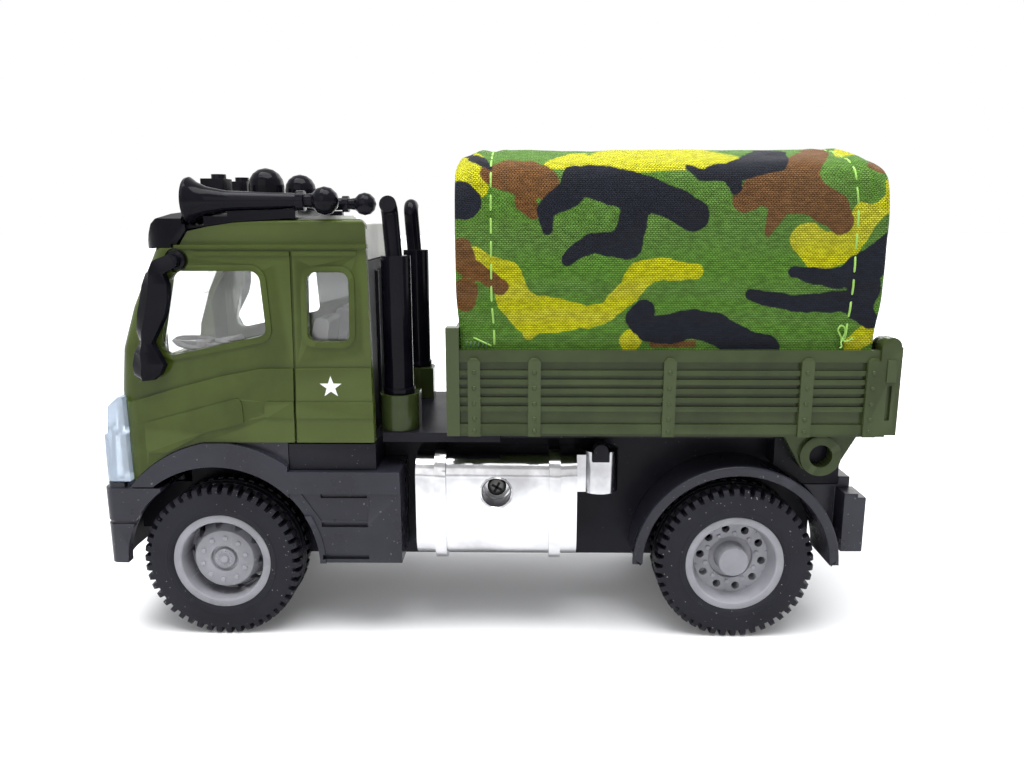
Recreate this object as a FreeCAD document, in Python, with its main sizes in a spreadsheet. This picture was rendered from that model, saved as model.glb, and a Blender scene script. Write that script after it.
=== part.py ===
"""Toy military cargo truck: a two-axle cab-over truck with a tipping drop-side bed and a cloth canopy.

Millimetres. +X points forwards, +Y to the truck's left, +Z up. The origin is on the ground under
the middle of the truck. Every driving size is a cell of the "Sizes" sheet, and every sub-part is
bound to those cells, so a changed cell moves whatever fits to it.
"""
import FreeCAD, Part
import math
import os

import Sketcher, PartDesign

VECTOR = FreeCAD.Vector
NORMALS = {"XY": VECTOR(0, 0, 1), "XZ": VECTOR(0, -1, 0), "YZ": VECTOR(1, 0, 0)}

# name, millimetres or degrees, what it is
SIZES = [
    ("wheelbase", 82.0, "front axle to rear axle"),
    ("front_axle_x", 43.6, "front axle ahead of the origin"),
    ("tyre_radius", 12.5, "tyre outer radius and axle height"),
    ("tyre_width", 8.0, "tyre width"),
    ("track_half", 18.0, "centre plane to a tyre's outer face"),
    ("rim_radius", 7.8, "radius where the tyre seats on the rim"),
    ("axle_radius", 1.0, "steel axle pin"),
    ("axle_clearance", 0.06, "radial clearance of the axle in its bearings"),
    ("wheel_gap", 1.0, "chassis side to tyre"),
    ("arch_gap", 2.2, "tyre tread to rear wheel arch"),
    ("front_arch_gap", 3.5, "tyre tread to front wheel arch"),
    ("fit_gap", 0.1, "gap between pieces that seat on each other"),
    ("free_gap", 0.35, "gap beside a piece that moves"),
    ("cab_half", 17.8, "half width of the cab below the belt line"),
    ("cab_upper_half", 17.3, "half width of the cab at its windows"),
    ("cab_wall", 1.3, "cab shell wall"),
    ("cab_rear_x", 18.3, "rear edge of the cab at its foot"),
    ("cab_front_x", 58.0, "front of the cab under the windscreen"),
    ("cab_corner", 2.8, "rounding of the cab's front corners"),
    ("visor_front_x", 52.6, "front of the sun visor"),
    ("cab_floor_z", 32.4, "underside of the cab"),
    ("belt_z", 43.8, "belt line under the side windows"),
    ("eaves_z", 62.2, "rain gutter above the side windows"),
    ("roof_z", 66.4, "top of the cab shell"),
    ("pane", 0.8, "thickness of the clear mouldings"),
    ("bumper_front_x", 61.8, "front of the bumper"),
    ("bumper_top_z", 25.0, "top of the bumper"),
    ("bumper_foot_z", 12.6, "foot of the bumper, skirts and mudguards"),
    ("bumper_wall", 1.6, "bumper wall"),
    ("bumper_corner", 1.6, "rounding of the bumper's corners"),
    ("skirt_half", 18.4, "half width over the skirts and the bumper"),
    ("hull_foot_z", 10.6, "underside of the chassis"),
    ("deck_z", 33.4, "top of the chassis deck"),
    ("deck_thickness", 1.5, "chassis deck"),
    ("hull_wall", 1.4, "chassis side wall"),
    ("bed_front_x", 6.9, "front of the cargo bed"),
    ("bed_half", 18.9, "half width over the bed's side boards"),
    ("bed_wall", 1.2, "side board and floor thickness"),
    ("bed_foot_z", 34.2, "lower edge of the side boards"),
    ("bed_rail_z", 47.1, "upper edge of the side boards"),
    ("post_z", 50.5, "top of the front posts"),
    ("pivot_behind_axle", 12.5, "rear axle to the bed's hinge"),
    ("pivot_z", 30.2, "height of the bed's hinge"),
    ("pivot_to_bed_rear", 10.1, "bed hinge to the rear of its corner posts"),
    ("pivot_pin_radius", 1.7, "pin that the bed tips on"),
    ("pivot_clearance", 0.08, "radial clearance of a hinge pin"),
    ("gate_pin_radius", 0.7, "pin that the tailgate hangs on"),
    ("canopy_top_z", 77.3, "crown of the canopy"),
    ("canopy_shoulder_z", 72.9, "shoulder of the canopy"),
    ("canopy_half", 18.2, "half width of the canopy"),
    ("canopy_foot_gap", 0.35, "side board to the foot of the canopy"),
    ("cloth", 0.7, "thickness allowed for the cloth"),
    ("tank_foot_z", 13.2, "underside of the fuel tank"),
    ("tank_top_z", 29.8, "top of the fuel tank"),
    ("tank_bore_radius", 2.34, "recess for the screw in the fuel tank"),
    ("stack_radius", 2.3, "exhaust stack"),
    ("stack_half", 12.0, "centre plane to an exhaust stack"),
    ("horn_half", 15.5, "centre plane to an air horn"),
    ("horn_z", 69.05, "height of the air horns"),
    ("mirror_half", 20.0, "centre plane to the outside of a mirror"),
    ("mirror_seat", 1.8, "radius of the round seat of a mirror's arm"),
]


def text_of(value):
    return value.text if isinstance(value, Length) else repr(float(value))


def value_of(value):
    return value.value if isinstance(value, Length) else float(value)


class Length:
    """A size that carries its number together with the sheet expression that gives it."""

    def __init__(self, text, value):
        self.text = text
        self.value = value

    def join(self, sign, first, second, value):
        return Length(f"({text_of(first)} {sign} {text_of(second)})", value)

    def __add__(self, other):
        return self.join("+", self, other, self.value + value_of(other))

    def __radd__(self, other):
        return self.join("+", other, self, value_of(other) + self.value)

    def __sub__(self, other):
        return self.join("-", self, other, self.value - value_of(other))

    def __rsub__(self, other):
        return self.join("-", other, self, value_of(other) - self.value)

    def __mul__(self, other):
        return self.join("*", self, other, self.value * value_of(other))

    def __rmul__(self, other):
        return self.join("*", other, self, value_of(other) * self.value)

    def __truediv__(self, other):
        return self.join("/", self, other, self.value / value_of(other))

    def __neg__(self):
        return Length(f"(0 - {self.text})", -self.value)


class Cells:
    """The sheet's aliases as attributes, each one a Length."""

    def __init__(self, rows):
        for name, value, _ in rows:
            setattr(self, name, Length(f"Sizes.{name}", value))


doc = FreeCAD.newDocument("ToyCargoTruck")
sheet = doc.addObject("Spreadsheet::Sheet", "Sizes")
for row, (name, value, meaning) in enumerate(SIZES, start=1):
    sheet.set(f"A{row}", meaning)
    sheet.set(f"B{row}", str(value))
    sheet.setAlias(f"B{row}", name)
doc.recompute()
v = Cells(SIZES)
nodes = []

# ---------------------------------------------------------------- helpers


def bind(feature, prop, length):
    """Set a property from the sheet."""
    feature.setExpression(prop, text_of(length))


def label(feature, name):
    """Name a finished sub-part; its label is its file's name."""
    feature.Label = name
    nodes.append(feature)
    return feature


def attached_sketch(body, name, plane):
    """An empty sketch on one of the body's own planes."""
    sketch = body.newObject("Sketcher::SketchObject", name)
    role = plane + "_Plane"
    origin_plane = next(item for item in body.Origin.OriginFeatures if item.Role == role)
    sketch.AttachmentSupport = (origin_plane, [""])
    sketch.MapMode = "FlatFace"
    return sketch


def add_outline(body, name, plane, corners, offset):
    """A closed sketch of straight edges at an offset from one of the body's own planes."""
    sketch = attached_sketch(body, name, plane)
    bind(sketch, "AttachmentOffset.Base.z", offset)
    points = [VECTOR(value_of(corner[0]), value_of(corner[1]), 0) for corner in corners]
    count = len(points)
    for index in range(count):
        sketch.addGeometry(Part.LineSegment(points[index], points[(index + 1) % count]))
    for index in range(count):
        sketch.addConstraint(Sketcher.Constraint("Coincident", index, 2, (index + 1) % count, 1))
    for index, corner in enumerate(corners):
        for direction, size in (("DistanceX", corner[0]), ("DistanceY", corner[1])):
            place = Sketcher.Constraint(direction, -1, 1, index, 1, value_of(size))
            number = sketch.addConstraint(place)
            sketch.setExpression(f"Constraints[{number}]", text_of(size))
    return sketch


def edges_at(shape, normal, places):
    """Names of the straight edges along a normal that pass through the given places."""
    names = []
    for index, edge in enumerate(shape.Edges, start=1):
        if not isinstance(edge.Curve, Part.Line):
            continue
        if abs(abs(edge.Curve.Direction.dot(normal)) - 1) > 1e-6:
            continue
        start = edge.Vertexes[0].Point
        for place in places:
            away = start - place
            if (away - normal * away.dot(normal)).Length < 1e-4:
                names.append(f"Edge{index}")
    return names


def prism(name, plane, corners, low, high):
    """A body padded from low to high across a plane; a corner's third entry rounds it."""
    body = doc.addObject("PartDesign::Body", name)
    # The XZ plane's normal is -Y, so its pad starts at the high side.
    offset = -high if plane == "XZ" else low
    sketch = add_outline(body, name + "Outline", plane, corners, offset)
    pad = body.newObject("PartDesign::Pad", name + "Pad")
    pad.Profile = sketch
    bind(pad, "Length", high - low)
    tip = pad
    doc.recompute()
    radii = {}
    for corner in corners:
        if len(corner) > 2:
            radii.setdefault(text_of(corner[2]), []).append(corner)
    for number, group in enumerate(radii.values(), start=1):
        places = [sketch.Placement.multVec(VECTOR(value_of(c[0]), value_of(c[1]), 0)) for c in group]
        fillet = body.newObject("PartDesign::Fillet", f"{name}Round{number}")
        fillet.Base = (tip, edges_at(tip.Shape, NORMALS[plane], places))
        bind(fillet, "Radius", group[0][2])
        doc.recompute()
        tip = fillet
    return body


def round_edges(body, radius, wanted):
    """Round the edges of a body whose two ends satisfy a test."""
    names = []
    for index, edge in enumerate(body.Tip.Shape.Edges, start=1):
        ends = [vertex.Point for vertex in edge.Vertexes]
        if len(ends) == 2 and wanted(*ends):
            names.append(f"Edge{index}")
    base = body.Tip
    fillet = body.newObject("PartDesign::Fillet", body.Name + "Edges")
    fillet.Base = (base, names)
    bind(fillet, "Radius", radius)
    doc.recompute()
    return body


def lofted(name, sections):
    """A body lofted straight through outlines that lie at given heights."""
    body = doc.addObject("PartDesign::Body", name)
    sketches = [
        add_outline(body, f"{name}Section{number}", "XY", corners, height)
        for number, (height, corners) in enumerate(sections, start=1)
    ]
    loft = body.newObject("PartDesign::AdditiveLoft", name + "Loft")
    loft.Profile = sketches[0]
    loft.Sections = sketches[1:]
    loft.Ruled = True
    doc.recompute()
    return body


def turned(name, plane, axis, corners):
    """A body turned about its sketch's H or V axis, through the document's origin."""
    body = doc.addObject("PartDesign::Body", name)
    sketch = add_outline(body, name + "Outline", plane, corners, Length("0", 0.0))
    turning = body.newObject("PartDesign::Revolution", name + "Turning")
    turning.Profile = sketch
    turning.ReferenceAxis = (sketch, [axis + "_Axis"])
    turning.Angle = 360
    doc.recompute()
    return body


def quarter_turn(steps, end=86.0):
    """Cosine and sine at even steps from nought to just short of a right angle."""
    turn = [math.radians(end * step / steps) for step in range(steps + 1)]
    return [(round(math.cos(angle), 6), round(math.sin(angle), 6)) for angle in turn]


def spread(near, far, sign):
    """A span on the left or, mirrored, on the right of the centre plane."""
    return (near, far) if sign > 0 else (-far, -near)


def place(feature, x, y, z):
    """Bind where a feature stands."""
    for axis, length in (("x", x), ("y", y), ("z", z)):
        bind(feature, "Placement.Base." + axis, length)
    return feature


def box(name, x, y, z):
    """A block between a low and a high face on each axis."""
    solid = doc.addObject("Part::Box", name)
    for prop, (low, high) in (("Length", x), ("Width", y), ("Height", z)):
        bind(solid, prop, high - low)
    return place(solid, x[0], y[0], z[0])


TURNS = {
    "X": FreeCAD.Rotation(VECTOR(0, 1, 0), 90),
    "Y": FreeCAD.Rotation(VECTOR(1, 0, 0), -90),
    "Z": FreeCAD.Rotation(),
}


def rod(name, axis, radius, start, length):
    """A cylinder along +X, +Y or +Z from a start point."""
    solid = doc.addObject("Part::Cylinder", name)
    solid.Placement.Rotation = TURNS[axis]
    bind(solid, "Radius", radius)
    bind(solid, "Height", length)
    return place(solid, *start)


def fuse(name, *pieces):
    joined = doc.addObject("Part::MultiFuse", name)
    joined.Shapes = list(pieces)
    return joined


def common(name, *pieces):
    shared = doc.addObject("Part::MultiCommon", name)
    shared.Shapes = list(pieces)
    return shared


def cut(name, base, *tools):
    removed = doc.addObject("Part::Cut", name)
    removed.Base = base
    removed.Tool = tools[0] if len(tools) == 1 else fuse(name + "Tools", *tools)
    return removed


def mirrored(name, source):
    """The same piece on the truck's other side."""
    copy = doc.addObject("Part::Mirroring", name)
    copy.Source = source
    copy.Normal = VECTOR(0, 1, 0)
    return copy


def both_sides(name, source):
    """Label a left piece and its mirror image as two sub-parts."""
    label(source, name + "_left")
    label(mirrored(source.Name + "Mirror", source), name + "_right")


# ---------------------------------------------------------------- shared places

rear_axle_x = v.front_axle_x - v.wheelbase
axle_z = v.tyre_radius
wheel_y = v.track_half - v.tyre_width / 2
hull_half = v.track_half - v.tyre_width - v.wheel_gap
arch_radius = v.tyre_radius + v.arch_gap
front_arch_radius = v.tyre_radius + v.front_arch_gap
pivot_x = rear_axle_x - v.pivot_behind_axle
bed_rear_x = pivot_x - v.pivot_to_bed_rear
deck_foot_z = v.deck_z - v.deck_thickness
cavity_half = v.cab_upper_half - v.cab_wall
bed_floor_z = v.deck_z + v.free_gap
bed_inner_half = v.bed_half - v.bed_wall
guard_gap = 0.15
seat_y = 7.6


# ---------------------------------------------------------------- wheels

def make_wheels():
    """Two steel axles, each with a pair of rims and tyres pressed on its ends."""
    half = v.tyre_width / 2
    shoulder = half - 0.9
    tread_edge = v.tyre_radius - 0.9
    bead = half - 0.4
    tyre_outline = [
        (v.rim_radius, -bead), (v.rim_radius + 1.7, -half), (tread_edge, -half),
        (v.tyre_radius, -shoulder), (v.tyre_radius, shoulder), (tread_edge, half),
        (v.rim_radius + 1.7, half), (v.rim_radius, bead),
    ]
    seat = v.rim_radius - 0.02
    lip = half - 0.35
    # radius, distance towards the outer face
    back = [
        (v.axle_radius, -3.2), (2.4, -3.2), (2.4, -0.5), (6.2, -0.5), (6.2, -lip), (seat, -lip), (seat, lip)
    ]
    front_face = [
        (6.6, lip), (5.9, 0.5), (4.9, 0.5), (4.75, 2.1), (4.2, 2.7), (2.1, 3.0),
        (2.1, lip), (0, lip), (0, 2.1), (v.axle_radius, 2.1),
    ]
    rear_face = [
        (6.7, lip), (5.9, 0.9), (3.6, 0.9), (3.4, 0.4), (2.5, 0.4), (2.4, 2.8), (0, 2.8), (0, 2.1),
        (v.axle_radius, 2.1),
    ]
    # end, axle place, outer face
    for end, axle_x, face in (("front", v.front_axle_x, front_face), ("rear", rear_axle_x, rear_face)):
        reach = wheel_y + 2.0
        axle = rod(f"{end}Axle", "Y", v.axle_radius, (axle_x, -reach, axle_z), reach * 2)
        label(axle, f"{end}_axle")
        for side, sign in (("left", 1), ("right", -1)):
            stem = end + side.capitalize()
            tyre = turned(stem + "Tyre", "XY", "V", tyre_outline)
            label(place(tyre, axle_x, wheel_y * sign, axle_z), f"tyre_{end}_{side}")
            rim = turned(stem + "Rim", "XY", "V", [(r, y if sign > 0 else -y) for r, y in back + face])
            if end == "rear":
                drill_hand_holes(rim, stem, 0.65, 4.75)
            label(place(rim, axle_x, wheel_y * sign, axle_z), f"rim_{end}_{side}")


def drill_hand_holes(rim, stem, radius, circle):
    """Ten round holes through the rim's disc."""
    sketch = attached_sketch(rim, stem + "HoleSketch", "XZ")
    sketch.addGeometry(Part.Circle(VECTOR(circle, 0, 0), VECTOR(0, 0, 1), radius))
    sketch.addConstraint(Sketcher.Constraint("PointOnObject", 0, 3, -1))
    sketch.addConstraint(Sketcher.Constraint("DistanceX", -1, 1, 0, 3, circle))
    sketch.addConstraint(Sketcher.Constraint("Radius", 0, radius))
    hole = rim.newObject("PartDesign::Pocket", stem + "Hole")
    hole.Profile = sketch
    hole.Type = "ThroughAll"
    hole.SideType = "Symmetric"
    doc.recompute()
    ring = rim.newObject("PartDesign::PolarPattern", stem + "Holes")
    ring.Originals = [hole]
    ring.Axis = (sketch, ["N_Axis"])
    ring.Angle = 360
    ring.Occurrences = 10
    rim.Tip = ring
    doc.recompute()


# ---------------------------------------------------------------- chassis

chassis_rear_x = pivot_x - 1.7
hull_front_x = v.front_axle_x + 7.4
nose_front_x = v.bumper_front_x - v.bumper_wall - v.fit_gap * 2
plate_top_z = v.hull_foot_z + 1.2
guard_radius = arch_radius + 1.6
sill_half = v.cab_half - 0.6
sill_top_z = v.cab_floor_z - 0.4
arch_keep_x = v.front_axle_x - 11.6
flange_top_z = v.bumper_top_z + 2.75
flange_foot_z = v.bumper_top_z - 0.8


def axle_slots(stem, radius, foot_z, half):
    """Slots with round tops over both axles, open at the foot."""
    slots = []
    for end, axle_x in (("Front", v.front_axle_x), ("Rear", rear_axle_x)):
        slots.append(
            box(f"{stem}{end}Slot", (axle_x - radius, axle_x + radius), (-half, half), (foot_z, axle_z)))
        slots.append(rod(f"{stem}{end}Bearing", "Y", radius, (axle_x, -half, axle_z), half * 2))
    return slots


def make_chassis():
    """A hull recessed below for its plate, the deck, the cab's platform, the nose and the hinge lugs."""
    hull = box("Hull", (chassis_rear_x, hull_front_x), (-hull_half, hull_half), (v.hull_foot_z, deck_foot_z))
    recess = box(
        "PlateRecess", (chassis_rear_x + v.hull_wall, hull_front_x - v.hull_wall),
        (v.hull_wall - hull_half, hull_half - v.hull_wall), (v.hull_foot_z, plate_top_z + v.fit_gap))
    bearing = v.axle_radius + v.axle_clearance
    slotted = cut("HullSlotted", hull, recess, *axle_slots("Hull", bearing, v.hull_foot_z, hull_half))
    nose = box(
        "Nose", (hull_front_x, nose_front_x), (-hull_half, hull_half),
        (v.hull_foot_z + 4.4, v.bumper_top_z - v.bumper_wall - 0.3))
    deck_half = v.stack_half + 0.8
    deck = box("Deck", (pivot_x + 6.0, v.cab_rear_x), (-deck_half, deck_half), (deck_foot_z, v.deck_z))
    side_half = v.bed_half - 3.4
    side_deck = box(
        "SideDeck", (v.bed_front_x - 8.0, v.cab_rear_x - 0.9), (-side_half, side_half),
        (deck_foot_z, v.deck_z))
    foot_z = flange_top_z + v.fit_gap
    arch_back_x = arch_keep_x - v.fit_gap
    platform = box("Platform", (v.cab_rear_x, arch_back_x), (-sill_half, sill_half), (foot_z, sill_top_z))
    cab_pad = box(
        "CabPad", (v.cab_rear_x, arch_back_x), (2.0 - sill_half, sill_half - 2.0),
        (foot_z, v.cab_floor_z - v.fit_gap))
    backbone = box(
        "Backbone", (arch_back_x, v.cab_front_x - 1.4 - v.fit_gap), (-hull_half, hull_half),
        (foot_z, v.cab_floor_z - v.fit_gap))
    lug_out = hull_half + 4.1
    # The lugs' rear corner is cut back to let the bed's floor swing down past it.
    lug_outline = [
        (pivot_x - 4.5, v.pivot_z - 5.7), (pivot_x + 6.0, v.pivot_z - 5.7), (pivot_x + 6.0, v.pivot_z + 2.1),
        (pivot_x - 2.0, v.pivot_z + 2.1), (pivot_x - 4.5, v.pivot_z - 0.5),
    ]
    lugs = prism("HingeLugs", "XZ", lug_outline, -lug_out, lug_out)
    trimmed = cut(
        "LugsTrimmed", lugs,
        arch_tool("LugArch", rear_axle_x, guard_radius + guard_gap, -lug_out - 1, lug_out + 1))
    pin_reach = lug_out + 1.7
    pins = rod("HingePins", "Y", v.pivot_pin_radius, (pivot_x, -pin_reach, v.pivot_z), pin_reach * 2)
    label(
        fuse("Chassis", slotted, nose, deck, side_deck, platform, cab_pad, backbone, trimmed, pins),
        "chassis_frame")


def make_base_plate():
    """The plate that closes the trough and keeps the axles up in their bearings."""
    edge = v.hull_wall + v.fit_gap
    plate = box(
        "Plate", (chassis_rear_x + edge, hull_front_x - edge),
        (edge - hull_half, hull_half - edge), (v.hull_foot_z, plate_top_z))
    keepers = []
    for end, axle_x in (("Front", v.front_axle_x), ("Rear", rear_axle_x)):
        width = v.axle_radius
        keepers.append(box(
            end + "Keeper", (axle_x - width, axle_x + width), (-hull_half, hull_half),
            (v.hull_foot_z, axle_z - 0.3)))
    bearing = v.axle_radius + v.axle_clearance
    bores = [
        rod(end + "KeeperBore", "Y", bearing, (axle_x, -hull_half, axle_z), hull_half * 2)
        for end, axle_x in (("Front", v.front_axle_x), ("Rear", rear_axle_x))
    ]
    label(cut("BasePlate", fuse("PlateBlank", plate, *keepers), *bores), "base_plate")


def arch_tool(name, axle_x, radius, low, high):
    """A cylinder about an axle, used to open or to shape a wheel arch."""
    return rod(name, "Y", radius, (axle_x, low, axle_z), high - low)


def flare_tool(name, grow, low, high):
    """The larger cylinder, set back from the axle, where the cab's side ends over the front arch."""
    return rod(
        name, "Y", front_arch_radius + 4.6 + grow, (v.front_axle_x - 2.6, low, axle_z - 0.4), high - low)


def make_skirts():
    """Front wheel arch with its raised crest, the sill above it and the stepped panel behind."""
    inner = hull_half + 0.3
    outer = v.skirt_half
    panel_out = outer - 0.3
    back_x = v.cab_rear_x - 3.8
    top_z = v.cab_floor_z - v.fit_gap
    low_flare = fuse(
        "ArchSill", flare_tool("ArchSillForm", 0.0, inner, sill_half),
        box("ArchSillBack", (arch_keep_x, v.front_axle_x - 2.6), (inner, sill_half), (flange_foot_z, top_z)))
    crest = common(
        "ArchCrest", flare_tool("CrestLimit", 0.0, inner, outer),
        rod("CrestForm", "Y", front_arch_radius + 2.9, (v.front_axle_x - 0.3, inner, axle_z + 1.0),
            outer - inner))
    ahead = box(
        "ArchAhead", (v.front_axle_x - 8, v.front_axle_x + 20), (inner, outer), (v.bumper_top_z + 0.2, top_z))
    behind = box("ArchBehind", (arch_keep_x, v.front_axle_x), (inner, outer), (v.bumper_foot_z, top_z))
    arch = common("Arch", fuse("ArchForms", low_flare, crest), fuse("ArchKeep", ahead, behind))
    lip = common(
        "ArchLip", arch_tool("ArchLipForm", v.front_axle_x, front_arch_radius + 1.0, inner, outer),
        box("ArchLipKeep", (v.front_axle_x - 20, v.front_axle_x), (inner, outer),
            (v.bumper_foot_z, axle_z + 8)))
    flange = box(
        "SkirtFlange", (back_x, v.front_axle_x - 11.0), (inner, outer), (flange_foot_z, flange_top_z))
    panel = box(
        "SkirtPanel", (back_x, v.front_axle_x - 11.0), (inner, panel_out), (v.bumper_foot_z, flange_foot_z))
    step_x = (v.cab_rear_x + 1.5, v.cab_rear_x + 8.8)
    hollow = [
        (step_x[1] + 3.0, flange_foot_z - 0.1), (step_x[1], flange_foot_z - 4.6),
        (step_x[0], flange_foot_z - 4.6),
        (step_x[0] - 0.6, flange_foot_z - 0.1),
    ]
    recesses = [prism("StepPanel", "XZ", hollow, panel_out - 0.22, outer + 1)]
    for number, drop in enumerate((0.0, 4.8, 10.2), start=1):
        high = flange_foot_z - drop
        recesses.append(box(f"Step{number}", step_x, (panel_out - 0.7, outer + 1), (high - 0.8, high)))
    opening = arch_tool("SkirtArch", v.front_axle_x, front_arch_radius, inner - 1, outer + 1)
    blank = fuse("SkirtBlank", arch, lip, flange, panel)
    both_sides("skirt", cut("Skirt", blank, opening, *recesses))


def make_mudguards():
    """Half-round rear mudguards with a rolled outer lip."""
    inner = hull_half + guard_gap
    outer = v.skirt_half - 0.2
    sheet_ring = arch_tool("GuardOuter", rear_axle_x, guard_radius - 0.4, inner, outer)
    lip = arch_tool("GuardLip", rear_axle_x, guard_radius, outer - 1.0, outer)
    hollow = arch_tool("GuardInner", rear_axle_x, arch_radius, inner - 1, outer + 1)
    below = box(
        "GuardBelow", (rear_axle_x - 20, rear_axle_x + 20), (inner - 1, outer + 1),
        (v.hull_foot_z - 15, v.bumper_foot_z))
    both_sides("mudguard", cut("Mudguard", fuse("GuardBlank", sheet_ring, lip), hollow, below))


def make_front_bumper():
    """A bumper moulding, hollow behind, wrapped round the corners to the wheel arches."""
    back_x = v.front_axle_x + 8.6
    front_x = v.bumper_front_x
    half = v.skirt_half

    def plan(inset, corner):
        return [
            (back_x, inset - half), (front_x - 0.6 - inset, inset - half, corner),
            (front_x - inset, 7.0 - half),
            (front_x - inset, half - 7.0), (front_x - 0.6 - inset, half - inset, corner),
            (back_x, half - inset),
        ]

    foot_z = v.bumper_foot_z
    corner = v.bumper_corner
    blank = prism("BumperBlank", "XY", plan(0.0, corner), foot_z, v.bumper_top_z)
    hollow = prism(
        "BumperHollow", "XY", plan(v.bumper_wall, 0.4), foot_z - 1, v.bumper_top_z - v.bumper_wall)
    groove_z = (foot_z + 6.5, foot_z + 7.1)
    groove = cut(
        "BumperGroove", prism("GrooveOuter", "XY", plan(-1.0, corner + 1.0), *groove_z),
        prism("GrooveInner", "XY", plan(0.4, corner - 0.4), foot_z, v.bumper_top_z))
    rim_z = (v.bumper_top_z - 0.5, v.bumper_top_z + 0.8)
    rim = common(
        "BumperRim",
        cut("BumperRimForm", prism("RimOuter", "XY", plan(0.45, corner - 0.45), *rim_z),
            prism("RimInner", "XY", plan(1.4, 0.4), foot_z, v.bumper_top_z + 1)),
        box("BumperRimKeep", (v.cab_front_x, front_x), (-half, half), rim_z))
    openings = [
        arch_tool("BumperArchLeft", v.front_axle_x, arch_radius, hull_half, half + 1),
        arch_tool("BumperArchRight", v.front_axle_x, arch_radius, -half - 1, -hull_half),
    ]
    label(cut("FrontBumper", fuse("BumperForms", blank, rim), hollow, groove, *openings), "front_bumper")


def make_rear_bumper():
    """Cross beam behind the rear wheels with a lamp housing at each end."""
    half = hull_half + 4.0
    rear_x = pivot_x - 6.5
    top_z = v.pivot_z - 4.6
    foot_z = v.bumper_foot_z + 1.7
    beam = box("RearBeam", (rear_x, chassis_rear_x - v.fit_gap), (-half, half), (foot_z, top_z))
    pieces = [beam]
    for side, sign in (("Left", 1), ("Right", -1)):
        # name, span forwards, span outwards, distance below the beam's top
        for name, along, across, drop in (
                ("RearCheek", (chassis_rear_x - 1, pivot_x + 5.0), (hull_half + v.fit_gap, half), 1.2),
                ("LampArm", (rear_x, rear_x + 2.2), (half - 0.5, v.skirt_half - 1.6), 1.6),
                ("LampBox", (rear_x - 1.2, rear_x + 0.1), (hull_half + 2.0, v.skirt_half - 1.6), 2.2)):
            pieces.append(box(name + side, along, spread(*across, sign), (foot_z, top_z - drop)))
    openings = [
        arch_tool("CheekArch", rear_axle_x, guard_radius + guard_gap, -half - 1, half + 1),
    ]
    lug_seat = box(
        "LugSeat", (pivot_x - 4.5 - v.fit_gap, pivot_x + 7), (-half - 1, half + 1),
        (v.pivot_z - 5.7 - v.fit_gap, v.deck_z))
    label(cut("RearBumper", fuse("RearBumperBlank", *pieces), lug_seat, *openings), "rear_bumper")


# ---------------------------------------------------------------- tanks

air_tank_radius = 3.0
air_tank_x = rear_axle_x + arch_radius + 1.6 + air_tank_radius + 2.2
tank_rear_x = air_tank_x + air_tank_radius + 0.7
tank_front_x = v.cab_rear_x - 6.1
tank_inner = hull_half + v.fit_gap


def make_fuel_tanks():
    """Plated tank with two straps and a round recess for its screw."""
    outer = v.track_half - 0.5

    def section(grow):
        radius = 3.4 + grow
        return [
            (tank_inner, v.tank_foot_z - grow), (outer + grow, v.tank_foot_z - grow, radius),
            (outer + grow, v.tank_top_z + grow, radius), (tank_inner, v.tank_top_z + grow),
        ]

    shell = prism("TankShell", "YZ", section(0.0), tank_rear_x, tank_front_x)
    pieces = [shell]
    for number, strap_x in enumerate((tank_front_x - 3.9, tank_rear_x + 3.5), start=1):
        pieces.append(prism(f"TankStrap{number}", "YZ", section(0.8), strap_x - 0.9, strap_x + 0.9))
    middle_x = (tank_front_x + tank_rear_x) / 2
    recess = rod(
        "TankRecess", "Y", v.tank_bore_radius, (middle_x, outer - 3.4, v.tank_foot_z + 11.0), 6.0)
    both_sides("fuel_tank", cut("FuelTank", fuse("TankBlank", *pieces), recess))


def make_air_tanks():
    """Small upright plated tank behind the fuel tank, and the black clip that holds its neck."""
    y = v.track_half - 4.4
    top_z = v.tank_top_z + 0.7
    foot_z = top_z - 6.8
    tank = rod("AirTankShell", "Z", air_tank_radius, (air_tank_x, y, foot_z), top_z - foot_z)
    tongue = box(
        "AirTankTongue", (air_tank_x, tank_rear_x), (y - 1.5, y + 2.0), (foot_z + 0.1, top_z - 0.6))
    bridge = box(
        "AirTankBridge", (air_tank_x - 1.5, air_tank_x + 1.5), (tank_inner, y), (foot_z, top_z - 0.6))
    notch_z = top_z - 1.5
    notch = box(
        "AirTankNotch", (air_tank_x - 1.4, air_tank_x + 1.4), (tank_inner - 1, y + 4), (notch_z, top_z + 1))
    both_sides("air_tank", cut("AirTank", fuse("AirTankBlank", tank, tongue, bridge), notch))
    clip = box(
        "ClipBar", (air_tank_x - 1.3, air_tank_x + 1.3), (tank_inner, y + 3.2), (notch_z + 0.02, top_z - 0.1))
    eye = rod("ClipEye", "Y", 1.15, (air_tank_x, y + 1.2, top_z + 0.2), 2.0)
    both_sides("tank_clip", fuse("TankClip", clip, eye))


# ---------------------------------------------------------------- cab

# share of the height from belt line to gutter, distance behind the cab's front
SCREEN = ((-0.185, 0.0), (0.174, 0.8), (0.522, 3.0), (1.0, 7.2))


def lean(z):
    """How far the cab's rear edge leans forwards at a height."""
    return (z - v.cab_floor_z) * (1.0 / 80.0)


def windscreen_x(z):
    """Front face of the cab at a height, straight between the creases of SCREEN."""
    share = (z - v.belt_z) / (v.eaves_z - v.belt_z)
    spans = list(zip(SCREEN, SCREEN[1:]))
    low, high = next((span for span in spans if share.value <= span[1][0]), spans[-1])
    slope = (high[1] - low[1]) / (high[0] - low[0])
    return v.cab_front_x - low[1] - (share - low[0]) * slope


def window_height(share):
    """Height at a share of the way from the belt line to the gutter."""
    return v.belt_z + (v.eaves_z - v.belt_z) * share


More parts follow.
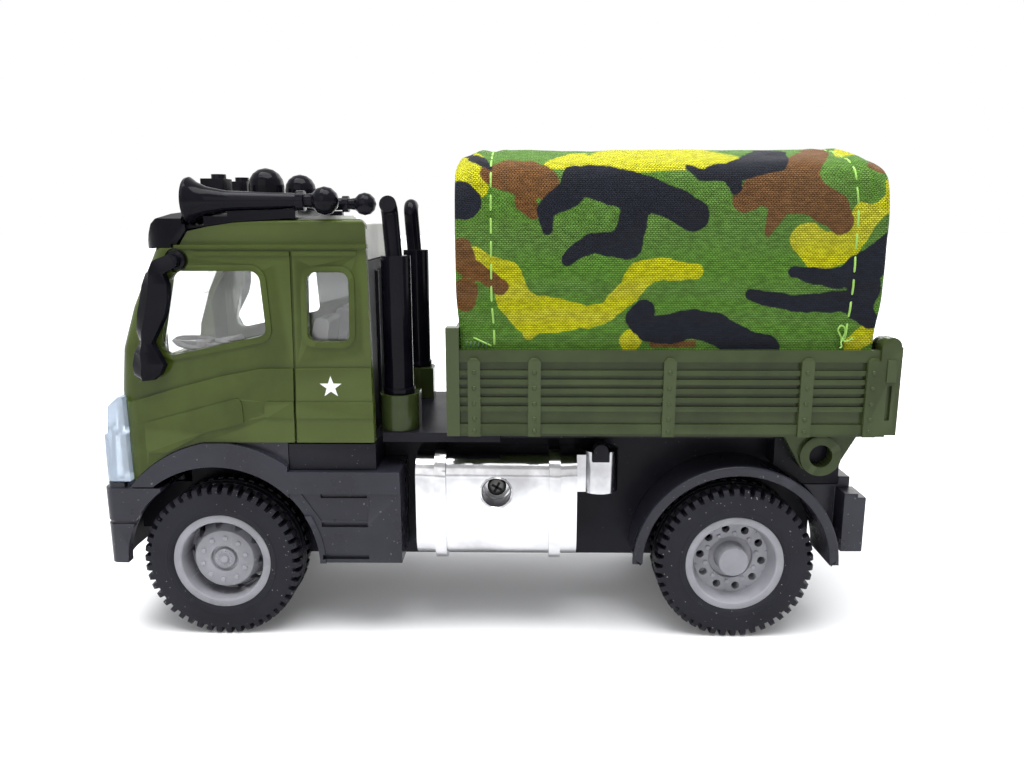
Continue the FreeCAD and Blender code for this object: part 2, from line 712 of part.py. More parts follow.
def screen_corners(low_z, high_z, inset):
    """The windscreen's side outline between two heights, moved back by an inset."""
    heights = [low_z, *(window_height(share) for share, _ in SCREEN[1:-1]), high_z]
    return [(windscreen_x(z) - inset, z) for z in heights]


def make_cab_shell():
    """Die-cast cab shell: raised lower body, glazed upper body and a domed roof, open below and behind."""
    low_z = v.bumper_top_z + 0.9
    half = v.cab_half
    upper_half = v.cab_upper_half
    plan = [
        (v.cab_rear_x, -half), (v.cab_front_x - 0.5, -half, v.cab_corner), (v.cab_front_x, -9.3),
        (v.cab_front_x, 9.3), (v.cab_front_x - 0.5, half, v.cab_corner), (v.cab_rear_x, half),
    ]
    belt = [
        (v.cab_rear_x, low_z), (v.cab_front_x, low_z), (v.cab_front_x, v.belt_z - 4.7),
        (v.front_axle_x + 12.2, v.belt_z - 5.0), (v.front_axle_x + 4.5, v.belt_z - 2.7),
        (v.front_axle_x - 1.9, v.belt_z - 1.0), (v.front_axle_x - 8.2, v.belt_z + 0.2),
        (v.cab_rear_x + lean(v.belt_z), v.belt_z + 0.3),
    ]
    lower = common(
        "CabLowerBody", prism("CabLower", "XZ", belt, -half, half),
        prism("CabPlan", "XY", plan, low_z, v.belt_z + 1))
    nose_z = window_height(SCREEN[0][0])
    rear_x = v.cab_rear_x + lean(v.eaves_z)
    side = [
        (v.cab_rear_x, v.cab_floor_z), (v.cab_front_x - 6.0, v.cab_floor_z), (v.cab_front_x, v.belt_z - 6.0),
        *screen_corners(nose_z, v.eaves_z, 0.0), (rear_x, v.eaves_z),
    ]
    upper = prism("CabUpper", "XZ", side, -upper_half, upper_half)
    edge = value_of(upper_half) - 0.01
    round_edges(
        upper, v.cab_corner - 0.2,
        lambda a, b: abs(a.y) > edge and a.y * b.y > 0 and min(a.x, b.x) > value_of(roof_front_x)
        and min(a.z, b.z) > value_of(v.belt_z) - 6.01)
    roof_half = upper_half - 0.6
    roof_section = [
        (-roof_half - 0.1, v.eaves_z - 1), (roof_half + 0.1, v.eaves_z - 1),
        (roof_half + 0.1, v.eaves_z + 0.2),
        (roof_half - 0.3, v.roof_z, 0.8), (0.3 - roof_half, v.roof_z, 0.8),
        (-roof_half - 0.1, v.eaves_z + 0.2),
    ]
    roof = common(
        "CabRoof", prism("CabRoofSide", "XZ", roof_outline(), -roof_half, roof_half),
        prism("CabRoofSection", "YZ", roof_section, v.cab_rear_x, v.cab_front_x))
    outer = fuse("CabForms", lower, upper, roof, *cab_trim())

    cavity_front = v.cab_front_x - v.cab_wall
    cavity_plan = [
        (v.cab_rear_x - 2, -cavity_half), (cavity_front - 4.2, -cavity_half), (cavity_front, -11.6),
        (cavity_front, 11.6), (cavity_front - 4.2, cavity_half), (v.cab_rear_x - 2, cavity_half),
    ]
    ceiling_z = v.eaves_z - v.cab_wall
    cavity_side = [
        (v.cab_rear_x - 2, low_z - 1), (cavity_front, low_z - 1), (cavity_front, v.belt_z - 4.6),
        *screen_corners(nose_z, ceiling_z, v.cab_wall), (roof_front_x - 0.8, ceiling_z),
        (roof_front_x - 2.6, v.roof_z - 2.8), (v.cab_rear_x + 12.0, v.roof_z - 1.5),
        (v.cab_rear_x - 2, v.roof_z - 1.5),
    ]
    cavity = common(
        "CabCavity", prism("CavitySide", "XZ", cavity_side, -cavity_half, cavity_half),
        prism("CavityPlan", "XY", cavity_plan, low_z - 1, v.roof_z))
    arch = common(
        "CabArch", flare_tool("CabArchForm", v.fit_gap, -half - 1, half + 1),
        box("CabArchLimit", (v.cab_rear_x, v.cab_front_x), (-half - 2, half + 2), (0.0, v.cab_floor_z)))
    sill = box(
        "CabSill", (v.cab_rear_x - 2, v.front_axle_x - 2.6), (-half - 1, half + 1),
        (low_z - 1, v.cab_floor_z))
    openings = cab_openings() + [headlight("CabLightGap", v.fit_gap)]
    openings.append(mirrored("CabLightGapRight", openings[-1]))
    roof_gap = box(
        "CabRoofGap", (v.cab_rear_x - 2, insert_front_x + v.fit_gap),
        (-insert_half - v.fit_gap, insert_half + v.fit_gap),
        (insert_foot_z - v.fit_gap, v.roof_z + 2))
    grille_gap = box(
        "CabGrilleGap", (v.cab_front_x - 2.4, v.cab_front_x + 1), (-9.2, 9.2), (low_z - 1, v.belt_z - 6.2))
    label(cut("CabShell", outer, cavity, arch, sill, roof_gap, grille_gap, *openings), "cab_shell")


def roof_outline():
    """Side outline of the roof above the gutter, rising in an easy curve from the visor."""
    rear_x = v.cab_rear_x + lean(v.eaves_z)
    return [
        (rear_x, v.eaves_z - 1), (roof_front_x, v.eaves_z - 1), (roof_front_x, v.eaves_z + 0.1),
        *roof_top_corners(0.0),
        (rear_x + 0.2, v.roof_z, 1.2),
    ]


def roof_top_corners(lift):
    """Corners of the roof's top line from its front edge to where it runs level."""
    # distance behind the roof's front edge, distance below its top
    corners = ((1.5, 1.75), (4.5, 1.1), (8.2, 0.55), (13.7, 0.2), (18.1, 0.0))
    return [(roof_front_x - behind, v.roof_z - below + lift) for behind, below in corners]


roof_front_x = windscreen_x(v.eaves_z) - 3.9
rim_proud = 0.22
insert_half = v.cab_upper_half - 2.6
insert_foot_z = v.eaves_z - 2.0
insert_front_x = v.cab_rear_x + 10.9
mirror_seat_x = v.front_axle_x + 3.5
mirror_seat_z = v.eaves_z - 1.8


def front_pane(grow):
    """Outline of the front side window, or of its raised rim."""
    x, sill_z, head_z = v.front_axle_x, window_height(4.4 / 18.4), window_height(15.0 / 18.4)
    return [
        (x + 4.3 + grow, head_z + grow, 1.6 + grow), (x - 8.8 - grow, head_z + grow, 1.6 + grow),
        (x - 9.4 - grow, sill_z + 1.0 - grow, 1.2 + grow), (x + 7.3 + grow, sill_z - 2.6 - grow, 1.6 + grow),
    ]


def rear_pane(grow):
    """Outline of the rear side window, or of its raised rim."""
    x, sill_z, head_z = v.cab_rear_x, window_height(4.3 / 18.4), window_height(14.8 / 18.4)
    return [
        (x + 9.4 + grow, head_z + grow, 1.3 + grow), (x + 3.1 - grow, head_z + grow, 1.3 + grow),
        (x + 3.3 - grow, sill_z - grow, 1.3 + grow), (x + 9.7 + grow, sill_z - grow, 1.3 + grow),
    ]


def cab_trim():
    """What stands proud of the sides: window rims, gutter, the rib below it and two pressed panels."""
    half, upper_half = v.cab_half, v.cab_upper_half
    x, floor_z = v.front_axle_x, v.cab_floor_z
    rear_x = v.cab_rear_x + lean(v.eaves_z)
    gutter = [
        (rear_x - 0.1, v.eaves_z - 0.1), (roof_front_x + 0.3, v.eaves_z - 0.1),
        (roof_front_x + 0.3, v.eaves_z + 0.45), (rear_x - 0.1, v.eaves_z + 0.45),
    ]
    rib = [
        (rear_x + 1.4, v.eaves_z - 1.15), (x + 0.9, v.eaves_z - 1.15), (x + 0.9, v.eaves_z - 0.5),
        (rear_x + 1.4, v.eaves_z - 0.5),
    ]
    name_panel = [
        (x + 10.3, floor_z + 3.1, 0.9), (x - 5.0, floor_z + 7.2, 0.9), (x - 5.2, floor_z + 3.1, 0.6),
        (x + 1.0, floor_z + 1.6), (x + 6.9, floor_z - 1.6), (x + 10.4, floor_z - 1.8, 0.9),
    ]
    lower_panel = [
        (v.cab_rear_x, v.belt_z - 4.9), (x - 8.6, v.belt_z - 4.9, 0.6), (x - 8.4, v.belt_z - 7.5, 0.6),
        (v.cab_rear_x, v.belt_z - 7.5),
    ]
    # name, outline, half width of the side it lies on, how far it stands proud
    rows = (
        ("FrontRim", front_pane(0.9), upper_half, rim_proud),
        ("RearRim", rear_pane(0.9), upper_half, rim_proud),
        ("Gutter", gutter, upper_half, 0.35), ("GutterRib", rib, upper_half, 0.2),
        ("NamePanel", name_panel, half, 0.2), ("LowerPanel", lower_panel, half, 0.2),
    )
    return [prism(name, "XZ", outline, -side - proud, side + proud) for name, outline, side, proud in rows]


def cab_openings():
    """Windows, the doors' shut lines and the round seats of the mirror arms."""
    out = v.cab_half + 1
    tools = [
        prism("FrontSideWindow", "XZ", front_pane(0.0), -out, out),
        prism("RearSideWindow", "XZ", rear_pane(0.0), -out, out),
    ]
    screen_half = v.cab_upper_half - 3.0
    screen = [
        (-screen_half, v.belt_z - 0.4, 1.5), (screen_half, v.belt_z - 0.4, 1.5),
        (screen_half - 0.8, v.eaves_z - 1.9, 1.5), (0.8 - screen_half, v.eaves_z - 1.9, 1.5),
    ]
    tools.append(prism("WindscreenOpening", "YZ", screen, v.front_axle_x + 5.5, v.cab_front_x + 2))
    door_x = v.front_axle_x - 13.2
    shut_line = [
        (door_x + 0.35, v.cab_floor_z - 1), (door_x, v.belt_z), (door_x - 0.3, v.eaves_z - 0.5),
        (door_x - 0.7, v.eaves_z - 0.5), (door_x - 0.4, v.belt_z), (door_x - 0.05, v.cab_floor_z - 1),
    ]
    # name, half width of the side that the line is cut into
    for name, side in (("ShutLine", v.cab_half), ("UpperShutLine", v.cab_upper_half)):
        tool = prism(name, "XZ", shut_line, side - 0.3, out)
        tools += [tool, mirrored(name + "Right", tool)]
    seat = rod(
        "MirrorSeat", "Y", v.mirror_seat, (mirror_seat_x, v.cab_upper_half - 0.45, mirror_seat_z), 2.0)
    return tools + [seat, mirrored("MirrorSeatRight", seat)]


def headlight(name, grow):
    """A wrap-round headlight: a leaning front in two tiers within one plan outline."""
    front_x = v.bumper_front_x - 0.7 + grow
    out = v.cab_half + 0.3 + grow
    joint_x = v.cab_front_x - 1.1 - grow
    face_x = v.cab_front_x + v.fit_gap - grow
    inner = 9.4 - grow
    plan = [
        (front_x, inner), (front_x, out, 1.8), (joint_x, out), (joint_x, out - 1.7 - grow * 2),
        (face_x, out - 3.4 - grow * 2), (face_x, inner),
    ]
    foot_z = v.bumper_top_z + 1.1 - grow
    split_z = v.bumper_top_z + 8.6
    top_z = v.belt_z - 4.2 + grow
    tiers = [
        (joint_x - 1, foot_z), (front_x, foot_z), (front_x - 0.7, split_z), (front_x - 1.3, split_z + 0.1),
        (front_x - 1.8, top_z - 1.4), (front_x - 3.4, top_z), (joint_x - 1, top_z),
    ]
    return common(
        name, prism(name + "Plan", "XY", plan, foot_z, top_z), prism(name + "Tiers", "XZ", tiers, inner, out))


def make_cab_front():
    """Headlights and the slatted grille between them."""
    both_sides("headlight", headlight("Headlight", 0.0))
    half = 9.4 - v.fit_gap
    back_x = v.cab_front_x - 1.4
    front_x = v.bumper_front_x - 2.0
    foot_z, top_z = v.bumper_top_z + 0.9, v.belt_z - 4.6
    blank = box("GrilleBlank", (v.cab_front_x + v.fit_gap, front_x), (-half, half), (foot_z, top_z))
    tongue = box(
        "GrilleTongue", (back_x, v.cab_front_x + v.fit_gap), (0.4 - half, half - 0.4),
        (foot_z, v.belt_z - 6.4))
    slots = []
    pitch = (top_z - foot_z) / 6
    for number in range(5):
        low = foot_z + pitch * (number + 0.65)
        slots.append(box(
            f"GrilleSlot{number + 1}", (front_x - 1.3, front_x + 1), (1.4 - half, half - 1.4),
            (low, low + pitch * 0.55)))
    label(cut("Grille", fuse("GrilleBody", blank, tongue), *slots), "grille_panel")


def make_glazing():
    """One clear tray behind the windscreen and the side windows."""
    rear_x = v.cab_rear_x + 2.6

    def tray(name, inset, low, high):
        half = cavity_half - inset
        front = v.cab_wall + inset
        side = [(rear_x, low), *screen_corners(low, high, front), (rear_x, high)]
        plan = [
            (rear_x, -half), (v.cab_front_x - front - 5.6, -half), (v.cab_front_x - front - 1.2, 4.2 - half),
            (v.cab_front_x - front, 6.4 - half), (v.cab_front_x - front, half - 6.4),
            (v.cab_front_x - front - 1.2, half - 4.2), (v.cab_front_x - front - 5.6, half), (rear_x, half),
        ]
        return common(
            name, prism(name + "Side", "XZ", side, -half, half), prism(name + "Plan", "XY", plan, low, high))

    low, high = v.belt_z - 0.8, v.eaves_z - v.cab_wall - v.fit_gap
    outer = tray("GlassOuter", v.fit_gap, low, high)
    inner = tray("GlassInner", v.fit_gap + v.pane, low - 1, high + 1)
    glass_half = cavity_half - v.pane - v.fit_gap
    open_rear = box("GlassRear", (rear_x - 2.6, rear_x + 0.6), (-glass_half, glass_half), (low - 1, high + 1))
    label(cut("Glazing", outer, inner, open_rear), "cab_glazing")


def make_interior():
    """Floor, dashboard and two seats in one moulding, and the rear wall."""
    half = cavity_half - v.fit_gap - v.pane - 0.3
    floor_z = v.cab_floor_z + 1.0
    rear_x = v.cab_rear_x + 3.0
    dash_x = v.front_axle_x
    floor = box("CabFloor", (rear_x, dash_x + 8.4), (-half, half), (v.cab_floor_z, floor_z))
    dash_outline = [
        (dash_x + 3.2, floor_z - 0.5), (dash_x + 8.4, floor_z - 0.5), (dash_x + 10.0, v.belt_z - 2.6),
        (dash_x + 8.2, v.belt_z + 0.8), (dash_x + 4.0, v.belt_z + 1.6), (dash_x + 2.6, v.belt_z - 2.4),
    ]
    dash_half = half - 4.2
    pieces = [floor, prism("Dashboard", "XZ", dash_outline, -dash_half, dash_half)]
    seat_x = dash_x - 15.0
    seat = [
        (seat_x, floor_z - 0.3), (seat_x + 10.4, floor_z - 0.3), (seat_x + 11.2, floor_z + 5.4, 0.8),
        (seat_x + 2.6, floor_z + 4.6), (seat_x - 0.4, floor_z + 17.6, 0.8),
        (seat_x - 2.8, floor_z + 17.6, 0.8),
    ]
    for side, sign in (("Left", 1), ("Right", -1)):
        centre = seat_y * sign
        pieces.append(prism("Seat" + side, "XZ", seat, centre - 4.0, centre + 4.0))
    label(fuse("Interior", *pieces), "cab_interior")

    rear_half = cavity_half - v.fit_gap
    panel_x = v.cab_rear_x + 1.1
    panel = box(
        "RearPanelPlate", (panel_x, panel_x + 1.2), (-rear_half, rear_half),
        (v.cab_floor_z + 0.2, insert_foot_z - v.fit_gap * 2))
    ribs = [
        box(f"RearPanelRib{number}", (panel_x - 0.4, panel_x),
            (rear_half * share - 0.5, rear_half * share + 0.5),
            (v.cab_floor_z + 2.0, insert_foot_z - 2.0))
        for number, share in enumerate((-0.35, 0.0, 0.35), start=1)
    ]
    label(fuse("RearPanel", panel, *ribs), "cab_rear_panel")


def make_steering_wheel():
    """Three-spoked wheel on a short column over the dashboard."""
    ring = turned("WheelRing", "XZ", "V", [(3.85, 0.0), (4.3, -0.45), (4.75, 0.0), (4.3, 0.45)])
    hub = rod("WheelHub", "Z", 1.2, (0.0, 0.0, -0.45), 0.9)
    column = rod("WheelColumn", "Z", 0.7, (0.0, 0.0, -0.85), 0.5)
    spokes = []
    for number, turn in enumerate((30, 150, 270), start=1):
        rotation = FreeCAD.Rotation(VECTOR(0, 0, 1), turn)
        start = rotation.multVec(VECTOR(0, -0.4, -0.3))
        spoke = box(
            f"WheelSpoke{number}", (start.x, start.x + 4.2), (start.y, start.y + 0.8),
            (start.z, start.z + 0.6))
        spoke.Placement.Rotation = rotation
        spokes.append(spoke)
    steering = fuse("SteeringWheel", ring, hub, column, *spokes)
    steering.Placement.Rotation = FreeCAD.Rotation(VECTOR(0, 1, 0), -10)
    label(place(steering, v.front_axle_x + 4.2, seat_y, v.belt_z + 2.6), "steering_wheel")


def make_roof_insert():
    """Pale moulding let into the roof's rear edge."""
    rear_x = v.cab_rear_x + 1.0
    outline = [
        (rear_x, insert_foot_z), (rear_x + 1.6, insert_foot_z), (rear_x + 1.6, v.roof_z - 1.3),
        (insert_front_x, v.roof_z - 1.3), (insert_front_x, v.roof_z + 0.2),
        (insert_front_x - 3, v.roof_z + 0.5),
        (rear_x + 1.4, v.roof_z + 0.5, 0.6), (rear_x + 0.4, v.roof_z - 0.8, 0.6),
    ]
    label(prism("RoofInsert", "XZ", outline, -insert_half, insert_half), "roof_insert")


# ---------------------------------------------------------------- roof equipment

platform_top_z = v.roof_z + 1.4
platform_rear_x = insert_front_x + 1.3
beacon_x = v.front_axle_x - 8.4
beacon_y = 9.8
lamp_x = v.front_axle_x + 1.0
lamp_y = 5.5
lamp_foot_z = v.roof_z + 3.1
horn_mouth_x = v.front_axle_x + 1.7
horn_length = 20.45


def make_visor_bar():
    """Sun visor and roof platform in one moulding, scooped out under the horns."""
    lip_x = v.visor_front_x
    half = v.cab_upper_half - 0.3
    gap = v.fit_gap
    low_z = v.eaves_z
    top_z = v.roof_z + 1.1
    rear_x = roof_front_x - 1.4
    screen_x = windscreen_x(low_z) + 0.15
    side = [
        (lip_x, low_z - 0.1), (lip_x - 0.9, low_z + 1.8), (lip_x - 1.7, low_z + 3.5),
        (lip_x - 2.6, low_z + 4.25),
        (lip_x - 4.9, top_z - 0.3), (rear_x, top_z), (rear_x, v.roof_z - 1.7 + gap),
        (roof_front_x + 0.1, low_z + 0.55),
        (roof_front_x + 0.9, low_z + 0.55), (roof_front_x + 0.9, low_z + gap), (screen_x, low_z + gap),
        (screen_x, low_z - 0.1),
    ]
    plan = [(rear_x, -half), (lip_x, -half, 3.8), (lip_x, half, 3.8), (rear_x, half)]
    section = [
        (-half, low_z - 1), (half, low_z - 1), (half, top_z - 1.0), (half - 1.0, top_z), (1.0 - half, top_z),
        (-half, top_z - 1.0),
    ]
    visor = common(
        "Visor", prism("VisorSide", "XZ", side, -half, half),
        prism("VisorPlan", "XY", plan, low_z - 1, top_z + 1),
        prism("VisorSection", "YZ", section, rear_x, lip_x))
    deck_half = v.horn_half + 0.9
    platform = [
        (rear_x + 0.5, v.roof_z - 1.5), *roof_top_corners(gap)[1:-1], (platform_rear_x, v.roof_z + gap),
        (platform_rear_x, platform_top_z), (rear_x + 0.5, top_z - 0.1),
    ]
    pieces = [visor, prism("RoofPlatform", "XZ", platform, -deck_half, deck_half)]
    for side_name, sign in (("Left", 1), ("Right", -1)):
        pieces.append(box(
            "HornSaddle" + side_name, (platform_rear_x - 1.4, platform_rear_x + 0.5),
            spread(insert_half + 0.3, deck_half, sign), (v.roof_z + gap, platform_top_z)))
        pieces.append(box(
            "LampPlinth" + side_name, (lamp_x - 2.1, lamp_x + 2.1), spread(lamp_y - 2.1, lamp_y + 2.1, sign),
            (v.roof_z + 0.2, lamp_foot_z)))
    reliefs = []
    # name, where it starts behind the bells' mouths, radius beside the horn
    for name, start, radius in (("Bell", 2.4, 3.7), ("Throat", 6.0, 2.4), ("Tube", 12.6, 1.7)):
        relief = rod(
            f"Horn{name}Relief", "X", radius, (horn_mouth_x - start, v.horn_half, v.horn_z), start + 0.7)
        reliefs += [relief, mirrored(relief.Name + "Right", relief)]
    label(cut("VisorBar", fuse("VisorBlank", *pieces), *reliefs), "visor_bar")


def make_roof_lamps():
    """Two domed beacons and two square lamps with a round button on top."""
    radius = 2.7
    dome = [(radius * cosine, 3.6 + radius * sine) for cosine, sine in quarter_turn(4)]
    beacon = turned("Beacon", "XZ", "V", [(0.0, 0.0), (radius, 0.0), *dome, (0.0, dome[-1][1])])
    both_sides("beacon", place(beacon, beacon_x, beacon_y, platform_top_z))
    top_z = lamp_foot_z + 3.2
    body = box(
        "LampBody", (lamp_x - 1.85, lamp_x + 1.85), (lamp_y - 1.9, lamp_y + 1.9), (lamp_foot_z, top_z))
    button = rod("LampButton", "Z", 1.15, (lamp_x - 0.45, lamp_y, top_z), 0.7)
    both_sides("roof_lamp", fuse("RoofLamp", body, button))


def make_horns():
    """Air horns: a hollow flared bell, a long tube, a collar and a round compressor ball."""
    radius = 2.1
    turn = quarter_turn(3)
    rear_half = [(-radius * sine, radius * cosine) for cosine, sine in reversed(turn)]
    front_half = [(radius * sine, radius * cosine) for cosine, sine in turn[1:-1]]
    # distance ahead of the ball's centre, radius
    bell = [
        (3.0, 0.95), (3.0, 1.5), (4.1, 1.5), (4.1, 1.1), (14.6, 1.5), (17.6, 2.1), (19.1, 2.8),
        (horn_length - 0.45, 3.5), (horn_length, 3.4), (17.5, 1.2), (17.5, 0.0),
    ]
    horn = turned("Horn", "XZ", "H", [(rear_half[0][0], 0.0), *rear_half, *front_half, *bell])
    both_sides("horn", place(horn, horn_mouth_x - horn_length, v.horn_half, v.horn_z))


def make_mirrors():
    """Twin mirror heads, wedge-shaped in plan, on an arm plugged into the windscreen pillar."""
    x = v.front_axle_x
    inner, outer = v.cab_upper_half + 1.1, v.mirror_half
    # distance below the gutter, front edge and rear edge ahead of the axle
    heights = (
        (3.5, 7.7, 4.7), (5.3, 8.5, 4.1), (7.8, 9.1, 4.3), (9.7, 9.6, 4.8), (12.1, 9.9, 6.1),
        (14.0, 9.5, 7.2),
        (15.5, 10.5, 6.5), (17.4, 11.0, 5.6), (18.8, 10.9, 6.3), (19.7, 9.9, 7.5),
    )
    sections = []
    for below, front, rear in reversed(heights):
        ridge = rear + (front - rear) * 0.62
        sections.append((v.eaves_z - below, [
            (x + front, inner), (x + front - 0.3, inner + 0.7), (x + ridge, outer),
            (x + rear + 0.3, inner + 0.8),
            (x + rear, inner),
        ]))
    arm = [
        (x + 7.2, v.eaves_z - 3.7), (x + 6.3, v.eaves_z - 1.8, 0.8), (x + 3.4, v.eaves_z - 0.7, 1.2),
        (x + 2.4, v.eaves_z - 1.6, 0.6), (x + 2.9, v.eaves_z - 2.7, 0.6), (x + 4.8, v.eaves_z - 3.7),
    ]
    arm_y = v.cab_upper_half + rim_proud + v.fit_gap
    plug_y = v.cab_upper_half - 0.35
    pieces = [
        lofted("MirrorHead", sections),
        prism("MirrorArm", "XZ", arm, arm_y, inner + 0.9),
        rod("MirrorPlug", "Y", v.mirror_seat - 0.35, (mirror_seat_x, plug_y, mirror_seat_z),
            arm_y + 0.1 - plug_y),
    ]
    both_sides("mirror", fuse("Mirror", *pieces))


def bent_pipe(name, radius, rise, bend, sweep):
    """A round pipe that rises from its origin, then bends towards +Y through a sweep in degrees."""
    body = doc.addObject("PartDesign::Body", name)
    profile = attached_sketch(body, name + "Profile", "XY")
    profile.addGeometry(Part.Circle(VECTOR(), VECTOR(0, 0, 1), radius))
    path = attached_sketch(body, name + "Path", "YZ")
    path.addGeometry(Part.LineSegment(VECTOR(), VECTOR(0, rise, 0)))
    turn = Part.Circle(VECTOR(bend, rise, 0), VECTOR(0, 0, 1), bend)
    path.addGeometry(Part.ArcOfCircle(turn, math.radians(180 - sweep), math.pi))
    path.addConstraint(Sketcher.Constraint("Coincident", 0, 2, 1, 2))
    swept = body.newObject("PartDesign::AdditivePipe", name + "Sweep")
    swept.Profile = profile
    swept.Spine = (path, ["Edge1", "Edge2"])
    doc.recompute()
    return body


def make_exhausts():
    """Upright stacks behind the cab with a bent tail pipe, each in a half-round bracket."""
    x = v.cab_rear_x - v.stack_radius - 0.9
    foot_z = v.deck_z + 5.8
    top_z = v.eaves_z - 1.4
    stack = rod("StackBody", "Z", v.stack_radius, (x, v.stack_half, foot_z), top_z - foot_z)
    collar = rod("StackCollar", "Z", v.stack_radius + 0.2, (x, v.stack_half, foot_z), 1.0)
    pipe = bent_pipe("StackPipe", 1.3, 6.5, 1.7, 75)
    pipe.Placement.Rotation = FreeCAD.Rotation(VECTOR(0, 1, 0), 3.8)
    place(pipe, x + 0.25, v.stack_half, top_z - 0.3)
    both_sides("exhaust_stack", fuse("ExhaustStack", stack, collar, pipe))
    bracket_z = (v.deck_z + 0.05, foot_z - 0.05)
    socket = rod("StackSocket", "Z", 3.1, (x, v.stack_half, bracket_z[0]), bracket_z[1] - bracket_z[0])
    flank = box("StackFlank", (x - 3.1, x + 2.9), (v.stack_half - 3.0, v.stack_half), bracket_z)
    both_sides("exhaust_bracket", fuse("ExhaustBracket", socket, flank))


# ---------------------------------------------------------------- cargo bed

gate_hinge_x = bed_rear_x + 1.65
gate_hinge_z = v.bed_rail_z + 0.55
post_inner = bed_inner_half - 0.8


def make_cargo_bed():
    """Open bed: floor, ribbed and slatted side boards, headboard, corner posts and hinge brackets."""
    floor = box(
        "BedFloor", (gate_hinge_x - 0.3, v.bed_front_x - 0.3), (0.3 - v.bed_half, v.bed_half - 0.3),
        (bed_floor_z, bed_floor_z + v.bed_wall))
    headboard_outline = [
        (-bed_inner_half - 0.5, bed_floor_z), (bed_inner_half + 0.5, bed_floor_z),
        (bed_inner_half + 0.5, v.post_z - 0.6),
        (bed_inner_half - 1.4, v.post_z - 0.2, 0.8), (bed_inner_half - 3.4, v.post_z - 1.6, 1.5),
        (3.4 - bed_inner_half, v.post_z - 1.6, 1.5), (1.4 - bed_inner_half, v.post_z - 0.2, 0.8),
        (-bed_inner_half - 0.5, v.post_z - 0.6),
    ]
    headboard = prism("Headboard", "YZ", headboard_outline, v.bed_front_x - 1.6, v.bed_front_x - 0.4)
    left = side_board()
    right = mirrored("SideBoardRight", left)
    brackets = hinge_bracket()
    label(
        fuse("CargoBed", floor, headboard, left, right, brackets, mirrored("BracketRight", brackets)),
        "cargo_bed")


def side_board():
    """Left side board with its slats, ribs and both corner posts."""
    rear_x, front_x = bed_rear_x + 1.0, v.bed_front_x - 1.0
    board = box("Board", (rear_x, front_x), (bed_inner_half, v.bed_half), (v.bed_foot_z, v.bed_rail_z))
    recess = box(
        "BoardRecess", (rear_x + 1, front_x - 1), (v.bed_half - 0.5, v.bed_half + 1),
        (v.bed_foot_z + 1.5, v.bed_rail_z - 1.8))
    pieces = [cut("BoardPanel", board, recess)]
    slat_pitch = (v.bed_rail_z - v.bed_foot_z) / 9.3
    for number in range(5):
        low = v.bed_foot_z + 3.5 + slat_pitch * number
        pieces.append(box(
            f"Slat{number + 1}", (rear_x + 0.5, front_x - 0.5), (v.bed_half - 0.6, v.bed_half - 0.05),
            (low, low + 0.78)))
    length = v.bed_front_x - bed_rear_x
    # share of the bed's length from its front to each rib's middle
    for number, share in enumerate((0.062, 0.196, 0.495, 0.797, 0.941), start=1):
        rib_x = v.bed_front_x - length * share
        rib = [
            (rib_x - 0.95, v.bed_foot_z - 0.35), (rib_x + 0.95, v.bed_foot_z - 0.35),
            (rib_x + 0.95, v.bed_rail_z - 1.7), (rib_x + 0.45, v.bed_rail_z - 1.1),
            (rib_x - 0.45, v.bed_rail_z - 1.1), (rib_x - 0.95, v.bed_rail_z - 1.7),
        ]
        pieces.append(prism(f"Rib{number}", "XZ", rib, v.bed_half - 0.6, v.bed_half + 0.4))
    out = v.bed_half + 0.4
    pieces.append(box(
        "FrontPost", (v.bed_front_x - 2.0, v.bed_front_x), (post_inner, out), (v.bed_foot_z - 0.3, v.post_z)))
    post = box(
        "RearPost", (bed_rear_x, gate_hinge_x + 1.45), (post_inner, out), (v.bed_foot_z, gate_hinge_z))
    knuckle = rod("Knuckle", "Y", 1.45, (gate_hinge_x, post_inner, gate_hinge_z), out - post_inner)
    slot = box(
        "PostSlot", (gate_hinge_x - 0.45, gate_hinge_x + 0.25), (out - 0.5, out + 1),
        (v.bed_foot_z + 2.3, v.bed_foot_z + 7.6))
    tab = box(
        "PostTab", (gate_hinge_x - 0.9, gate_hinge_x + 0.5), (out - 0.2, out + 0.25),
        (v.bed_foot_z + 8.2, v.bed_foot_z + 11.6))
    bore = rod(
        "KnuckleBore", "Y", v.gate_pin_radius + v.pivot_clearance,
        (gate_hinge_x, post_inner - 1, gate_hinge_z),
        2.6)
    return cut("SideBoard", fuse("SideBoardBlank", *pieces, post, knuckle, tab), slot, bore)


def hinge_bracket():
    """Left bracket under the bed's rear, with the boss that turns on the chassis pin."""
    inner = hull_half + 4.1 + v.free_gap
    web, boss_length = 2.8, 3.6
    top_z = bed_floor_z + 0.4
    plate = [
        (pivot_x + 6.1, top_z), (pivot_x - 6.1, top_z), (pivot_x - 2.6, v.pivot_z - 2.4, 1.0),
        (pivot_x + 2.6, v.pivot_z - 2.4, 1.0),
    ]
    boss = rod("HingeBoss", "Y", 3.2, (pivot_x, inner, v.pivot_z), boss_length)
    bore = rod(
        "HingeBore", "Y", v.pivot_pin_radius + v.pivot_clearance, (pivot_x, inner - 1, v.pivot_z),
        boss_length + 2)
    return cut(
        "HingeBracket", fuse("HingePlate", prism("HingeWeb", "XZ", plate, inner, inner + web), boss), bore)


